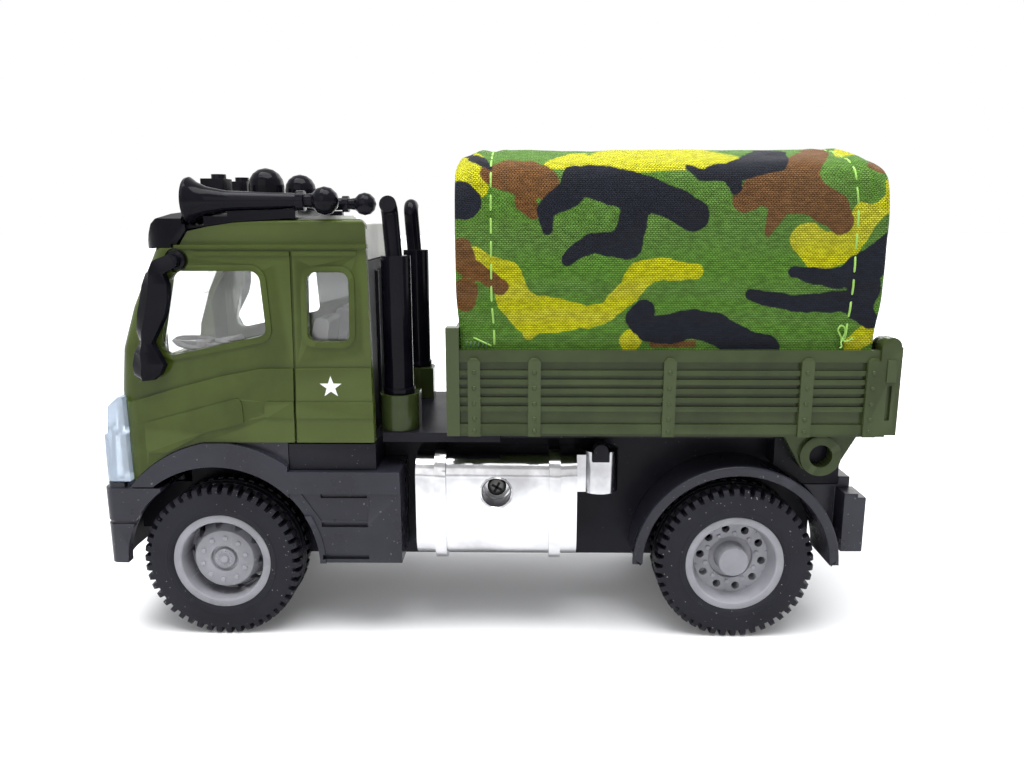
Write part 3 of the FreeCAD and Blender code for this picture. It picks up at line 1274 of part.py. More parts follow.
def make_tailgate():
    """Tailgate hung between the rear posts on two pins in line with their knuckles."""
    half = post_inner - v.free_gap
    outer_x = bed_rear_x - 0.3
    foot_z, top_z = v.bed_foot_z + 1.1, gate_hinge_z - 0.6
    panel = box("GatePanel", (outer_x, outer_x + 1.2), (-half, half), (foot_z, top_z))
    pieces = [panel]
    for number, share in enumerate((-0.92, -0.46, 0.0, 0.46, 0.92), start=1):
        middle = half * share
        pieces.append(box(
            f"GateRib{number}", (outer_x - 0.5, outer_x + 0.1), (middle - 0.9, middle + 0.9),
            (foot_z, top_z)))
    for name, low in (("GateSill", foot_z), ("GateRail", top_z - 1.3)):
        pieces.append(box(name, (outer_x - 0.5, outer_x + 0.1), (-half, half), (low, low + 1.3)))
    for side, sign in (("Left", 1), ("Right", -1)):
        span = spread(half - 1.5, half, sign)
        pieces.append(box("GateArm" + side, (outer_x, gate_hinge_x), span, (top_z - 1.5, gate_hinge_z + 0.9)))
        pieces.append(rod("GateEye" + side, "Y", 1.2, (gate_hinge_x, span[0], gate_hinge_z), 1.5))
    pin_reach = post_inner + 1.4
    for side, start in (("Left", half - 0.5), ("Right", -pin_reach)):
        pieces.append(rod(
            "GatePin" + side, "Y", v.gate_pin_radius, (gate_hinge_x, start, gate_hinge_z),
            pin_reach - half + 0.5))
    label(fuse("Tailgate", *pieces), "tailgate")


# ---------------------------------------------------------------- canopy

canopy_front_x = v.bed_front_x - 2.35
canopy_rear_x = bed_rear_x + 4.1
canopy_foot_z = v.bed_rail_z - 0.6
canopy_foot_half = bed_inner_half - v.canopy_foot_gap


def canopy_section(inset, foot_z):
    """Cross-section: sides that swell a little, round shoulders and a low crown."""
    side = v.canopy_half - inset
    foot = canopy_foot_half - inset
    shoulder_z = v.canopy_shoulder_z - inset * 0.8
    # distance in from the side, distance below the crown
    crown = [(2.9, 2.6), (7.4, 1.1), (13.2, 0.3)]
    right = [(side - across, v.canopy_top_z - inset - down) for across, down in crown]
    left = [(-y, z) for y, z in reversed(right)]
    return [
        (-foot, foot_z), (foot, foot_z), (foot, canopy_foot_z + 0.5), (side, v.canopy_shoulder_z - 12.0),
        (side - 0.4, shoulder_z - 1.6, 1.5), *right, (0.0, v.canopy_top_z - inset), *left,
        (0.4 - side, shoulder_z - 1.6, 1.5), (-side, v.canopy_shoulder_z - 12.0),
        (-foot, canopy_foot_z + 0.5),
    ]


def make_canopy():
    """Cloth cover, a tunnel open at both ends, over a frame of three hoops and two rails."""
    cover = prism("CoverOuter", "YZ", canopy_section(0.0, canopy_foot_z), canopy_rear_x, canopy_front_x)
    hollow = prism(
        "CoverInner", "YZ", canopy_section(v.cloth, canopy_foot_z - 1), canopy_rear_x - 1, canopy_front_x + 1)
    label(cut("CanopyCover", cover, hollow), "canopy_cover")

    slack = v.cloth + 0.25
    foot_z = bed_floor_z + v.bed_wall
    hoops = []
    length = canopy_front_x - canopy_rear_x
    for number, share in enumerate((0.035, 0.5, 0.965), start=1):
        hoop_x = canopy_rear_x + length * share
        outer = prism(f"HoopOuter{number}", "YZ", canopy_section(slack, foot_z), hoop_x - 0.8, hoop_x + 0.8)
        inner = prism(
            f"HoopInner{number}", "YZ", canopy_section(slack + 1.5, foot_z - 1), hoop_x - 1.8, hoop_x + 1.8)
        hoops.append(cut(f"Hoop{number}", outer, inner))
    rails = []
    rail_half = canopy_foot_half - slack
    for side, sign in (("Left", 1), ("Right", -1)):
        rails.append(box(
            "CanopyRail" + side, (canopy_rear_x + 1.2, canopy_front_x - 1.2),
            spread(rail_half - 1.4, rail_half, sign), (foot_z, foot_z + 1.6)))
    label(fuse("CanopyFrame", *hoops, *rails), "canopy_frame")


# ---------------------------------------------------------------- build and write

for make in (
        make_wheels, make_chassis, make_base_plate, make_skirts, make_mudguards, make_front_bumper,
        make_rear_bumper, make_fuel_tanks, make_air_tanks, make_cab_shell, make_cab_front, make_glazing,
        make_interior, make_steering_wheel, make_roof_insert, make_visor_bar, make_roof_lamps, make_horns,
        make_mirrors,
        make_exhausts, make_cargo_bed, make_tailgate, make_canopy):
    make()
doc.recompute()

for item in doc.Objects:
    if "Invalid" in item.State or "Error" in item.State:
        raise RuntimeError(f"{item.Name} failed: {item.State}")
os.makedirs("parts", exist_ok=True)
for node in nodes:
    if node.Shape.isNull() or not node.Shape.isValid():
        raise RuntimeError(f"{node.Label} has no valid shape")
for node in nodes:
    node.Shape.exportStep(f"parts/{node.Label}.step")
print(f"{len(nodes)} sub-parts written")
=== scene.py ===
"""Looks of the toy military cargo truck. Lengths are in metres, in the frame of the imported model."""
import math
import random

import bmesh
import bpy
import numpy as np
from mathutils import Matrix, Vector, noise


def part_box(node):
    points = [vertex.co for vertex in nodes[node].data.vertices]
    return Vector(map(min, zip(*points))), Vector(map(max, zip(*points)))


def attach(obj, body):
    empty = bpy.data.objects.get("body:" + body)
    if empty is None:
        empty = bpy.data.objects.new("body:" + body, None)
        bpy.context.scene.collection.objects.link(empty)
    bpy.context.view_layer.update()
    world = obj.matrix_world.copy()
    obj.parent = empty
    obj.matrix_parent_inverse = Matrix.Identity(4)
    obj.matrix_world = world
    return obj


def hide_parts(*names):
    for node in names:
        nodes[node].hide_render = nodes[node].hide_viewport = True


MM = 0.001
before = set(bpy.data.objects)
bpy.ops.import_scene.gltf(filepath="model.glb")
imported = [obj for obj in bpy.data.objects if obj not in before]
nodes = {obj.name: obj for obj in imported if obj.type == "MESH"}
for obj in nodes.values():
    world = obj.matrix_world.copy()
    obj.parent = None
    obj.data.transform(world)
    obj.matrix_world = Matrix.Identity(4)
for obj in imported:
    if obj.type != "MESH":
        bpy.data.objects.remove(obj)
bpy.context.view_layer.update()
SIDES = (("left", 1), ("right", -1))
# the camera: place and lens in millimetres, rotation in degrees
VIEW = Vector((-4.9, 138.7, 66.6))
LENS, SENSOR = 28.5, 36.0
ROTATION = (90 - 11.62, 0.08, 180 + 0.88)


# ---------------------------------------------------------------- materials

class NodeTree:
    """A shader's node tree and short calls that add to it."""

    def __init__(self, tree):
        self.tree = tree

    def add(self, kind, inputs=None, **settings):
        """A new node; an input is a plain value or another node's output."""
        node = self.tree.nodes.new(kind)
        for key, value in settings.items():
            setattr(node, key, value)
        for key, value in (inputs or {}).items():
            if isinstance(value, bpy.types.NodeSocket):
                self.tree.links.new(value, node.inputs[key])
            else:
                node.inputs[key].default_value = value
        return node

    def math(self, operation, first, second=0.0):
        return self.add("ShaderNodeMath", {0: first, 1: second}, operation=operation).outputs[0]

    def ramp(self, value, low, high, start=0.0, end=1.0):
        """Value between low and high, mapped to start to end."""
        inputs = {"Value": value, "From Min": low, "From Max": high, "To Min": start, "To Max": end}
        return self.add("ShaderNodeMapRange", inputs, interpolation_type="SMOOTHSTEP").outputs[0]

    def background_rays(self):
        """1 for the rays that meet the plain white background: camera, transmission and glossy ones."""
        path = self.add("ShaderNodeLightPath")
        seen = self.math("MAXIMUM", path.outputs["Is Camera Ray"], path.outputs["Is Transmission Ray"])
        return self.math("MAXIMUM", seen, path.outputs["Is Glossy Ray"])


class Shade(NodeTree):
    """A Principled material, with values set on its sockets by name."""

    def __init__(self, name, **sockets):
        self.material = bpy.data.materials.new(name)
        self.material.use_nodes = True
        super().__init__(self.material.node_tree)
        self.shader = self.tree.nodes["Principled BSDF"]
        for socket, value in sockets.items():
            self.shader.inputs[socket.replace("_", " ")].default_value = value
        self.coordinates = self.add("ShaderNodeTexCoord").outputs["Object"]

    def noise(self, size, detail=3.0, stretch=None):
        """Noise whose features are about size across, in metres."""
        where = self.coordinates
        if stretch:
            where = self.add("ShaderNodeMapping", {"Vector": where, "Scale": stretch}).outputs[0]
        inputs = {"Vector": where, "Scale": 1.0 / size, "Detail": detail, "Roughness": 0.55}
        return self.add("ShaderNodeTexNoise", inputs).outputs["Fac"]

    def attribute(self, name):
        """A number kept at each point of the mesh."""
        return self.add("ShaderNodeAttribute", attribute_name=name).outputs["Fac"]

    def mix(self, share, first, second):
        """Colours mixed, all of the second where share is 1."""
        return self.add("ShaderNodeMix", {0: share, 6: first, 7: second}, data_type="RGBA").outputs[2]

    def bump(self, height, distance, strength=1.0, before=None):
        """Bumps up to distance high, on top of those before."""
        inputs = {"Height": height, "Distance": distance, "Strength": strength}
        if before:
            inputs["Normal"] = before
        return self.add("ShaderNodeBump", inputs).outputs[0]

    def use(self, socket, value):
        self.tree.links.new(value, self.shader.inputs[socket])


def rgb(red, green, blue):
    return (red, green, blue, 1.0)


def moulded(name, colour, roughness, grain=0.02, dust=0.0, **sockets):
    """Injection-moulded plastic: flow clouding, a fine grain, a painted highlight on sharp edges and a few
    dust specks.
    """
    shade = Shade(name, **sockets)
    cloud = shade.noise(9 * MM, 4.0)
    light = rgb(*[min(1.0, channel * 1.18 + 0.003) for channel in colour])
    dark = rgb(*[channel * 0.86 for channel in colour])
    base = shade.mix(shade.ramp(cloud, 0.3, 0.7), dark, light)
    # painted highlight: the base colour is lightened on sharp convex edges, where light would catch them
    edge = shade.add("ShaderNodeNewGeometry").outputs["Pointiness"]
    painted_edge_highlight = rgb(*[min(1.0, channel * 1.5 + 0.015) for channel in colour])
    base = shade.mix(shade.ramp(edge, 0.53, 0.62, 0.0, 0.5), base, painted_edge_highlight)
    if dust:
        speck = shade.ramp(shade.noise(0.5 * MM, 1.0), 0.735, 0.75, 0.0, dust)
        base = shade.mix(speck, base, rgb(0.34, 0.33, 0.31))
    shade.use("Base Color", base)
    fine = shade.noise(0.25 * MM, 2.0)
    shade.use("Roughness", shade.ramp(cloud, 0.25, 0.75, roughness * 0.85, roughness * 1.15))
    coarse = shade.bump(shade.noise(2.4 * MM, 2.0), 0.03 * MM, 0.5)
    shade.use("Normal", shade.bump(fine, grain * MM, before=coarse))
    return shade.material


def plated(name, tint, roughness):
    """Vacuum-plated plastic: bright, with faint waves from the moulding under it, and a painted reflection
    darkening its top.
    """
    shade = Shade(name, Metallic=1.0)
    cloud = shade.noise(6 * MM, 3.0)
    height = shade.add("ShaderNodeSeparateXYZ", {0: shade.coordinates}).outputs["Z"]
    # painted reflection: darker from 21 to 29 mm up, where the tank would mirror the dark body above it
    cloud = shade.math("SUBTRACT", cloud, shade.ramp(height, 21 * MM, 29 * MM, 0.0, 0.35))
    dim_wave_and_painted_reflection = rgb(*[channel * 0.45 for channel in tint])
    shade.use("Base Color", shade.mix(shade.ramp(cloud, 0.0, 0.6), dim_wave_and_painted_reflection, rgb(*tint)))
    smear = shade.noise(1.2 * MM, 4.0)
    shade.use("Roughness", shade.ramp(smear, 0.3, 0.7, roughness * 0.85, roughness * 1.2))
    shade.use("Normal", shade.bump(shade.noise(3.5 * MM, 2.0), 0.05 * MM, 0.5))
    return shade.material


def woven_camouflage():
    """Printed cotton: a green ground, and patches where the cloth's own distances turn negative."""
    shade = Shade("CamouflageCotton", Roughness=0.7, Specular_IOR_Level=0.12, Sheen_Weight=0.03)
    cloth = shade.add("ShaderNodeUVMap", uv_map="Cloth").outputs["UV"]
    yarn = shade.add("ShaderNodeTexBrick", {
        "Vector": cloth, "Color1": rgb(1, 1, 1), "Color2": rgb(0.55, 0.55, 0.55), "Mortar": rgb(0, 0, 0),
        "Scale": 1.0, "Mortar Size": 0.07, "Mortar Smooth": 1.0, "Brick Width": 0.46, "Row Height": 0.28},
        offset=0.5, squash=1.0)
    ragged = shade.math("MULTIPLY", shade.math("SUBTRACT", shade.noise(3.0 * MM, 3.0), 0.5), 1.2)
    green = rgb(0.095, 0.215, 0.03)
    colour = green
    for layer, tint in (
            ("yellow", rgb(0.50, 0.49, 0.012)), ("brown", rgb(0.16, 0.072, 0.022)),
            ("black", rgb(0.010, 0.012, 0.020)), ("patch", green)):
        distance = shade.math("ADD", shade.attribute(layer), ragged)
        colour = shade.mix(shade.ramp(distance, 0.12, -0.12), colour, tint)
    thread = shade.ramp(shade.noise(0.5 * MM, 2.0, stretch=(0.4, 1.0, 1.0)), 0.3, 0.7, 0.8, 1.25)
    # painted shade and highlight: the gaps between the yarns are darkened and the yarns lightened a little in
    # the colour
    painted_gap_shade = shade.ramp(yarn.outputs["Fac"], 0.0, 0.9, 1.1, 0.25)
    light = shade.math("MULTIPLY", thread, painted_gap_shade)
    light = shade.add("ShaderNodeCombineXYZ", {0: light, 1: light, 2: light}).outputs[0]
    lit = shade.add("ShaderNodeVectorMath", {0: colour, 1: light}, operation="MULTIPLY")
    shade.use("Base Color", lit.outputs[0])
    height = shade.math("SUBTRACT", 1.0, yarn.outputs["Fac"])
    slack = shade.bump(shade.noise(5 * MM, 3.0), 0.35 * MM, 0.5)
    shade.use("Normal", shade.bump(height, 0.07 * MM, before=slack))
    return shade.material


def make_materials():
    """Every finish on the truck, by name."""
    made = {
        "black": moulded(
            "SatinBlackPlastic", (0.016, 0.016, 0.024), 0.3, 0.01, 0.3, Specular_IOR_Level=0.25),
        # painted shade: a darker copy of the satin black, for the parts that sit in the truck's shadow
        "black_with_painted_shade": moulded(
            "BlackPlasticWithPaintedShade", (0.007, 0.007, 0.011), 0.34, 0.01, 0.2, Specular_IOR_Level=0.1),
        "gloss_black": moulded(
            "GlossBlackPlastic", (0.003, 0.003, 0.006), 0.13, 0.003, Specular_IOR_Level=0.08),
        "paint": moulded(
            "OlivePaint", (0.045, 0.064, 0.008), 0.2, 0.002, Coat_Weight=0.1, Coat_Roughness=0.06,
            Specular_IOR_Level=0.12),
        "bed": moulded("BedGreenPlastic", (0.034, 0.048, 0.014), 0.2, 0.005, Specular_IOR_Level=0.18),
        "grey": moulded("InteriorGreyPlastic", (0.30, 0.28, 0.29), 0.4, 0.01),
        "pale": moulded("OffWhitePlastic", (0.72, 0.72, 0.68), 0.35, 0.01),
        "rim": moulded("SilverGreyPlastic", (0.26, 0.26, 0.285), 0.3, 0.006, Specular_IOR_Level=0.3),
        "tyre": moulded("TyreVinyl", (0.010, 0.010, 0.015), 0.5, 0.02, 0.6, Specular_IOR_Level=0.15),
        "plated": plated("BrightPlating", (0.70, 0.70, 0.72), 0.16),
        "steel": plated("SteelPin", (0.55, 0.55, 0.57), 0.3),
        "screw": plated("DarkScrew", (0.16, 0.155, 0.15), 0.35),
        "white": moulded("WhitePrint", (0.85, 0.85, 0.83), 0.4, 0.002),
        "thread": moulded("LightGreenThread", (0.28, 0.50, 0.10), 0.7, 0.02),
        "dark_thread": moulded("DarkGreenThread", (0.06, 0.13, 0.05), 0.7, 0.02),
        "reflector": moulded("LampReflector", (0.86, 0.88, 0.90), 0.25, 0.004),
        "canvas": woven_camouflage(),
    }
    glass = Shade("ClearPlastic", Base_Color=rgb(0.97, 0.985, 0.98), IOR=1.49, Transmission_Weight=1.0)
    glass.use("Roughness", glass.ramp(glass.noise(5 * MM), 0.3, 0.7, 0.01, 0.04))
    made["glass"] = glass.material
    lens = Shade("LampLens", Base_Color=rgb(0.74, 0.84, 0.96), IOR=1.3, Transmission_Weight=0.65)
    lens.use("Roughness", lens.ramp(lens.noise(3 * MM), 0.3, 0.7, 0.04, 0.12))
    made["lens"] = lens.material
    return made


materials = make_materials()

# node name's start, material
NODE_FINISH = (
    # the chassis, base plate, cab's rear panel and tank clips take a black darkened as painted shade
    ("chassis_frame", "black_with_painted_shade"), ("base_plate", "black_with_painted_shade"), ("front_bumper", "black"),
    ("grille_panel", "black"), ("rear_bumper", "black"), ("skirt", "black"), ("mudguard", "black"),
    ("visor_bar", "gloss_black"), ("cab_rear_panel", "black_with_painted_shade"), ("tank_clip", "black_with_painted_shade"),
    ("mirror", "gloss_black"), ("exhaust_stack", "gloss_black"), ("horn", "gloss_black"),
    ("beacon", "gloss_black"), ("roof_lamp", "gloss_black"), ("cab_shell", "paint"), ("cargo_bed", "bed"),
    ("tailgate", "bed"), ("exhaust_bracket", "bed"), ("canopy_frame", "bed"), ("canopy_cover", "canvas"),
    ("cab_glazing", "glass"), ("headlight", "lens"), ("cab_interior", "grey"), ("steering_wheel", "grey"),
    ("roof_insert", "pale"), ("fuel_tank", "plated"), ("air_tank", "plated"), ("tyre", "tyre"),
    ("rim", "rim"), ("front_axle", "steel"), ("rear_axle", "steel"),
)

# node name's start, edge rounding in millimetres
EDGE = {
    "cab_shell": 0.26, "cargo_bed": 0.14, "tailgate": 0.14, "fuel_tank": 0.3, "front_bumper": 0.4,
    "skirt": 0.35, "mudguard": 0.3, "visor_bar": 0.3, "mirror": 0.35, "horn": 0.1,
}
PLAIN_EDGE = 0.2
# nodes whose flat faces are merged before their edges are rounded
MERGED = ("cab_shell", "visor_bar")


def soften(piece, width, merge_facets):
    """Rounded moulded edges: join split corners, merge flat facets, bevel, and even out the shading."""
    weld = piece.modifiers.new("Weld", "WELD")
    weld.merge_threshold = 0.002 * MM
    if merge_facets:
        flat = piece.modifiers.new("FlatFaces", "DECIMATE")
        flat.decimate_type = "DISSOLVE"
        flat.angle_limit = math.radians(0.5)
    bevel = piece.modifiers.new("Rounding", "BEVEL")
    bevel.width = width
    bevel.segments = 2
    bevel.limit_method = "ANGLE"
    bevel.angle_limit = math.radians(32)
    bevel.use_clamp_overlap = True
    bevel.harden_normals = False
    for polygon in piece.data.polygons:
        polygon.use_smooth = True
    weighted = piece.modifiers.new("Shading", "WEIGHTED_NORMAL")
    weighted.keep_sharp = False


def finish_cad_nodes():
    """Give every CAD node its material and rounded edges."""
    for name, node in nodes.items():
        finish = next(finish for start, finish in NODE_FINISH if name.startswith(start))
        for index in range(len(node.material_slots)):
            node.material_slots[index].material = materials[finish]
        if not name.startswith("cab_glazing"):
            width = next((size for start, size in EDGE.items() if name.startswith(start)), PLAIN_EDGE)
            soften(node, width * MM, name in MERGED)


# ---------------------------------------------------------------- mesh building, in millimetres

class Form:
    """Vertices and faces of one piece, in millimetres."""

    def __init__(self):
        self.vertices = []
        self.faces = []

    def grid(self, rows, closed_rows=False, closed_columns=False):
        """A skin over rows of points; every row is as long."""
        first = len(self.vertices)
        width = len(rows[0])
        for row in rows:
            self.vertices.extend(row)
        for i in range(len(rows) - (0 if closed_rows else 1)):
            for j in range(width - (0 if closed_columns else 1)):
                here, there = first + i * width, first + (i + 1) % len(rows) * width
                k = (j + 1) % width
                self.faces.append((here + j, here + k, there + k, there + j))
        return first

    def cap(self, first, count):
        """One flat face over a run of points."""
        self.faces.append(tuple(range(first, first + count)))

    def lathe(self, outline, centre, direction, steps=64):
        """A closed turning: (radius, distance along direction) points about an axis through centre."""
        along = Vector(direction).normalized()
        across = along.orthogonal().normalized()
        beside = along.cross(across)
        rows = []
        for step in range(steps):
            turn = math.tau * step / steps
            spoke = across * math.cos(turn) + beside * math.sin(turn)
            rows.append([Vector(centre) + spoke * radius + along * out for radius, out in outline])
        self.grid(rows, closed_rows=True, closed_columns=True)

    def tube(self, points, radius, steps=8):
        """A round cord through points, with its ends closed."""
        points = [Vector(point) for point in points]
        rows = []
        side = None
        turns = [math.tau * k / steps for k in range(steps)]
        for index, point in enumerate(points):
            ahead = points[min(index + 1, len(points) - 1)] - points[max(index - 1, 0)]
            ahead.normalize()
            side = ahead.orthogonal() if side is None else side - ahead * side.dot(ahead)
            side.normalize()
            other = ahead.cross(side)
            rows.append([point + (side * math.cos(turn) + other * math.sin(turn)) * radius for turn in turns])
        first = self.grid(rows, closed_columns=True)
        self.cap(first, steps)
        self.cap(first + (len(rows) - 1) * steps, steps)

    def slab(self, outline, low, high):
        """A flat prism: an outline of (x, z) points between two values of y."""
        first = len(self.vertices)
        count = len(outline)
        for y in (low, high):
            self.vertices.extend(Vector((x, y, z)) for x, z in outline)
        self.cap(first, count)
        self.cap(first + count, count)
        for j in range(count):
            k = (j + 1) % count
            self.faces.append((first + j, first + k, first + count + k, first + count + j))

    def mesh(self, name, closed):
        """The mesh in metres; a closed one is welded and faces outwards."""
        data = bpy.data.meshes.new(name)
        data.from_pydata([Vector(vertex) * MM for vertex in self.vertices], [], self.faces)
        if closed:
            mesh = bmesh.new()
            mesh.from_mesh(data)
            bmesh.ops.remove_doubles(mesh, verts=mesh.verts, dist=0.0004 * MM)
            bmesh.ops.recalc_face_normals(mesh, faces=mesh.faces)
            mesh.to_mesh(data)
            mesh.free()
        return data

    def place(self, name, finish, body, slot, sharp=35.0, closed=True):
        """Make the object, shade it, and let it ride on a body of the truck."""
        data = self.mesh(name, closed)
        data.shade_smooth()
        data.set_sharp_from_angle(angle=math.radians(sharp))
        piece = bpy.data.objects.new(name, data)
        bpy.context.scene.collection.objects.link(piece)
        data.materials.append(materials[finish])
        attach(piece, body)
        return piece


def node_box(name):
    """Low and high corners of a CAD node in millimetres."""
    low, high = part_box(name)
    return Vector(low) / MM, Vector(high) / MM


def bolt(form, centre, direction, radius, height):
    """A low domed bolt or rivet head standing on centre."""
    form.lathe(
        [(0.0, -0.1), (radius, -0.1), (radius, height * 0.45), (radius * 0.8, height * 0.85), (0.0, height)],
        centre, direction, 12)


# ---------------------------------------------------------------- wheels

TYRE_ACROSS = 25.0
LUGS = 46
# shares of the pitch: where a lug has risen, where it starts to fall and where it ends
LUG_RISE, LUG_FULL, LUG_FALL = 0.06, 0.56, 0.62
# shares of the pitch at which the lugs of either shoulder turn a corner
LUG_CUTS = (0.0, 0.06, 0.12, 0.5, 0.56, 0.62)
# distance from the tyre's middle plane, radius; the lugs also have the radius of the gap beside them
SIDEWALL = (
    (3.45, 7.75), (3.8, 8.05), (3.98, 8.45), (4.0, 8.6), (4.06, 8.68), (4.06, 8.86), (4.0, 8.94), (3.97, 9.8),
    (3.93, 10.7), (3.9, 11.15),
)
LUG_PROFILE = (
    (3.86, 11.3, 11.3), (3.84, 12.0, 11.38), (3.55, 12.42, 11.5), (3.1, 12.5, 11.62), (1.5, 12.5, 11.7),
)
RIB_PROFILE = ((1.3, 11.7), (1.1, 12.4), (0.25, 12.45), (0.2, 12.0))


def lug_height(share):
    """1 on a lug and 0 in the gap beside it, for a share of the pitch."""
    share %= 1.0
    if share < LUG_RISE:
        return share / LUG_RISE
    if share <= LUG_FULL:
        return 1.0
    return max(0.0, (LUG_FALL - share) / (LUG_FALL - LUG_FULL))


def half_section_of_tyre(lug):
    """Bead to crown, with the lugs at a share of their height."""
    blocks = [(y, gap + (top - gap) * lug) for y, top, gap in LUG_PROFILE]
    return [*SIDEWALL, *blocks, *RIB_PROFILE]


def make_tyre(end, side, sign):
    """Tyre with blocks on both shoulders, half a pitch apart, and a ribbed crown."""
    low, high = node_box(f"tyre_{end}_{side}")
    centre = (low + high) / 2
    scale = (high.x - low.x) / TYRE_ACROSS
    rows = []
    for lug in range(LUGS):
        for share in LUG_CUTS:
            angle = math.tau * (lug + share) / LUGS
            inner = half_section_of_tyre(lug_height(share + 0.5))
            outline = half_section_of_tyre(lug_height(share)) + [(-y, r) for y, r in reversed(inner)]
            across, up = scale * math.cos(angle), scale * math.sin(angle)
            rows.append([(centre.x + r * across, centre.y + y * sign, centre.z + r * up) for y, r in outline])
    form = Form()
    form.grid(rows, closed_rows=True, closed_columns=True)
    piece = form.place(f"TreadedTyre_{end}_{side}", "tyre", end + "_wheels", "tyre", 28.0)
    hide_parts(f"tyre_{end}_{side}")


# outlines of the wheels: radius, distance outwards from the wheel's middle plane
PIN_BORE = ((0.0, 1.9), (1.02, 1.9))
RIM_BACK = ((1.02, -3.2), (2.4, -3.2), (2.4, -1.3), (6.2, -1.3), (6.3, -3.6), (7.74, -3.6))
RIM_FLANGE = ((7.74, 3.3), (7.8, 3.55), (7.65, 3.65), (6.8, 3.65), (6.6, 3.5), (6.5, 3.1))
FRONT_FACE = (
    (6.4, 1.0), (6.35, -0.4), (6.05, -0.55), (4.86, 2.2), (4.7, 2.4), (4.5, 2.45), (2.35, 2.6), (2.2, 2.5),
    (2.1, 2.0), (1.75, 1.95), (1.65, 2.3), (1.55, 2.4), (0.72, 2.45), (0.66, 2.75), (0.52, 2.88), (0.0, 2.9),
)
REAR_BARREL = (
    (6.1, -0.6), (6.2, -3.6), (7.74, -3.6), *RIM_FLANGE, (6.25, 1.5), (5.95, 0.95), (5.95, -0.6),
)
REAR_HUB = (
    (1.02, -3.2), (2.4, -3.2), (2.4, -0.6), (3.66, -0.6), (3.66, 0.88), (3.52, 0.75), (3.46, 0.35),
    (2.62, 0.3), (2.5, 0.5), (2.42, 2.7), (2.3, 2.95), (2.05, 3.05), (0.0, 3.1), *PIN_BORE,
)
# inner radius, outer radius, face and thickness of the rear wheel's disc
REAR_DISC = (3.6, 6.0, 0.9, 1.5)
HOLES = 10
HOLE_PHASE = 0.11
# hole circle, hole radius, bolt circle, bolt radius, bolts' foot
WHEEL_FACES = {"front": (5.75, 0.72, 3.55, 0.4, 2.5), "rear": (5.0, 0.65, 4.15, 0.38, 0.88)}
BOLT_HEIGHT = 0.28
# circle, foot, radius and height of the small bolts round the front hub's cap
CAP_BOLTS = (1.14, 2.42, 0.16, 0.14)
# foot and length of the tools that cut the front wheel's holes
HOLE_CUT = (-1.5, 4.2)


def wheel_spot(centre, axis, turn, radius, out):
    """A place on a wheel: turned round its axis, a radius from it, and a distance out along it."""
    return centre + Vector((math.cos(turn), 0, math.sin(turn))) * radius + axis * out


def hole_turn(number):
    """Where a hand hole is round the wheel; halves stand between two holes."""
    return math.tau * number / HOLES + HOLE_PHASE


def carved(piece, cutter):
    """Cut one closed mesh out of another for good, and drop the cutter."""
    cut = piece.modifiers.new("Cut", "BOOLEAN")
    cut.operation = "DIFFERENCE"
    cut.solver = "EXACT"
    cut.object = cutter
    bpy.context.view_layer.update()
    done = bpy.data.meshes.new_from_object(piece.evaluated_get(bpy.context.evaluated_depsgraph_get()))
    piece.modifiers.remove(cut)
    piece.data = done
    bpy.data.objects.remove(cutter)
    done.set_sharp_from_angle(angle=math.radians(35))


def drill(piece, centre, axis, hole_circle, hole_radius):
    """Hand holes cut through the foot of the front wheel's cone."""
    foot, length = HOLE_CUT
    cutter = Form()
    for number in range(HOLES):
        cutter.lathe(
            [(0.0, 0.0), (hole_radius, 0.0), (hole_radius, length), (0.0, length)],
            wheel_spot(centre, axis, hole_turn(number), hole_circle, foot), axis, 20)
    holes = bpy.data.objects.new("HoleCutter", cutter.mesh("HoleCutter", True))
    bpy.context.scene.collection.objects.link(holes)
    carved(piece, holes)


def drilled_disc(form, centre, axis, hole_circle, hole_radius):
    """The rear wheel's flat disc with its ring of round holes, each sector one fan round its hole."""
    inner, outer, face, thickness = REAR_DISC
    steps, halvings, half = 24, 26, math.pi / HOLES
    for number in range(HOLES):
        edge, rim, foot = [], [], []
        for step in range(steps):
            angle = math.tau * (step + 0.5) / steps
            across, along = math.cos(angle), math.sin(angle)
            # the sector's edge in this direction, found by halving
            low, high = 0.0, outer
            for _ in range(halvings):
                reach = (low + high) / 2
                x, y = hole_circle + across * reach, along * reach
                inside = inner < math.hypot(x, y) < outer and abs(math.atan2(y, x)) < half
                low, high = (reach, high) if inside else (low, reach)
            for ring, reach, out in (
                    (edge, low, face), (rim, hole_radius, face), (foot, hole_radius, face - thickness)):
                x, y = hole_circle + across * reach, along * reach
                turn = hole_turn(number) + math.atan2(y, x)
                ring.append(wheel_spot(centre, axis, turn, math.hypot(x, y), out))
        form.grid([edge, rim, foot], closed_columns=True)


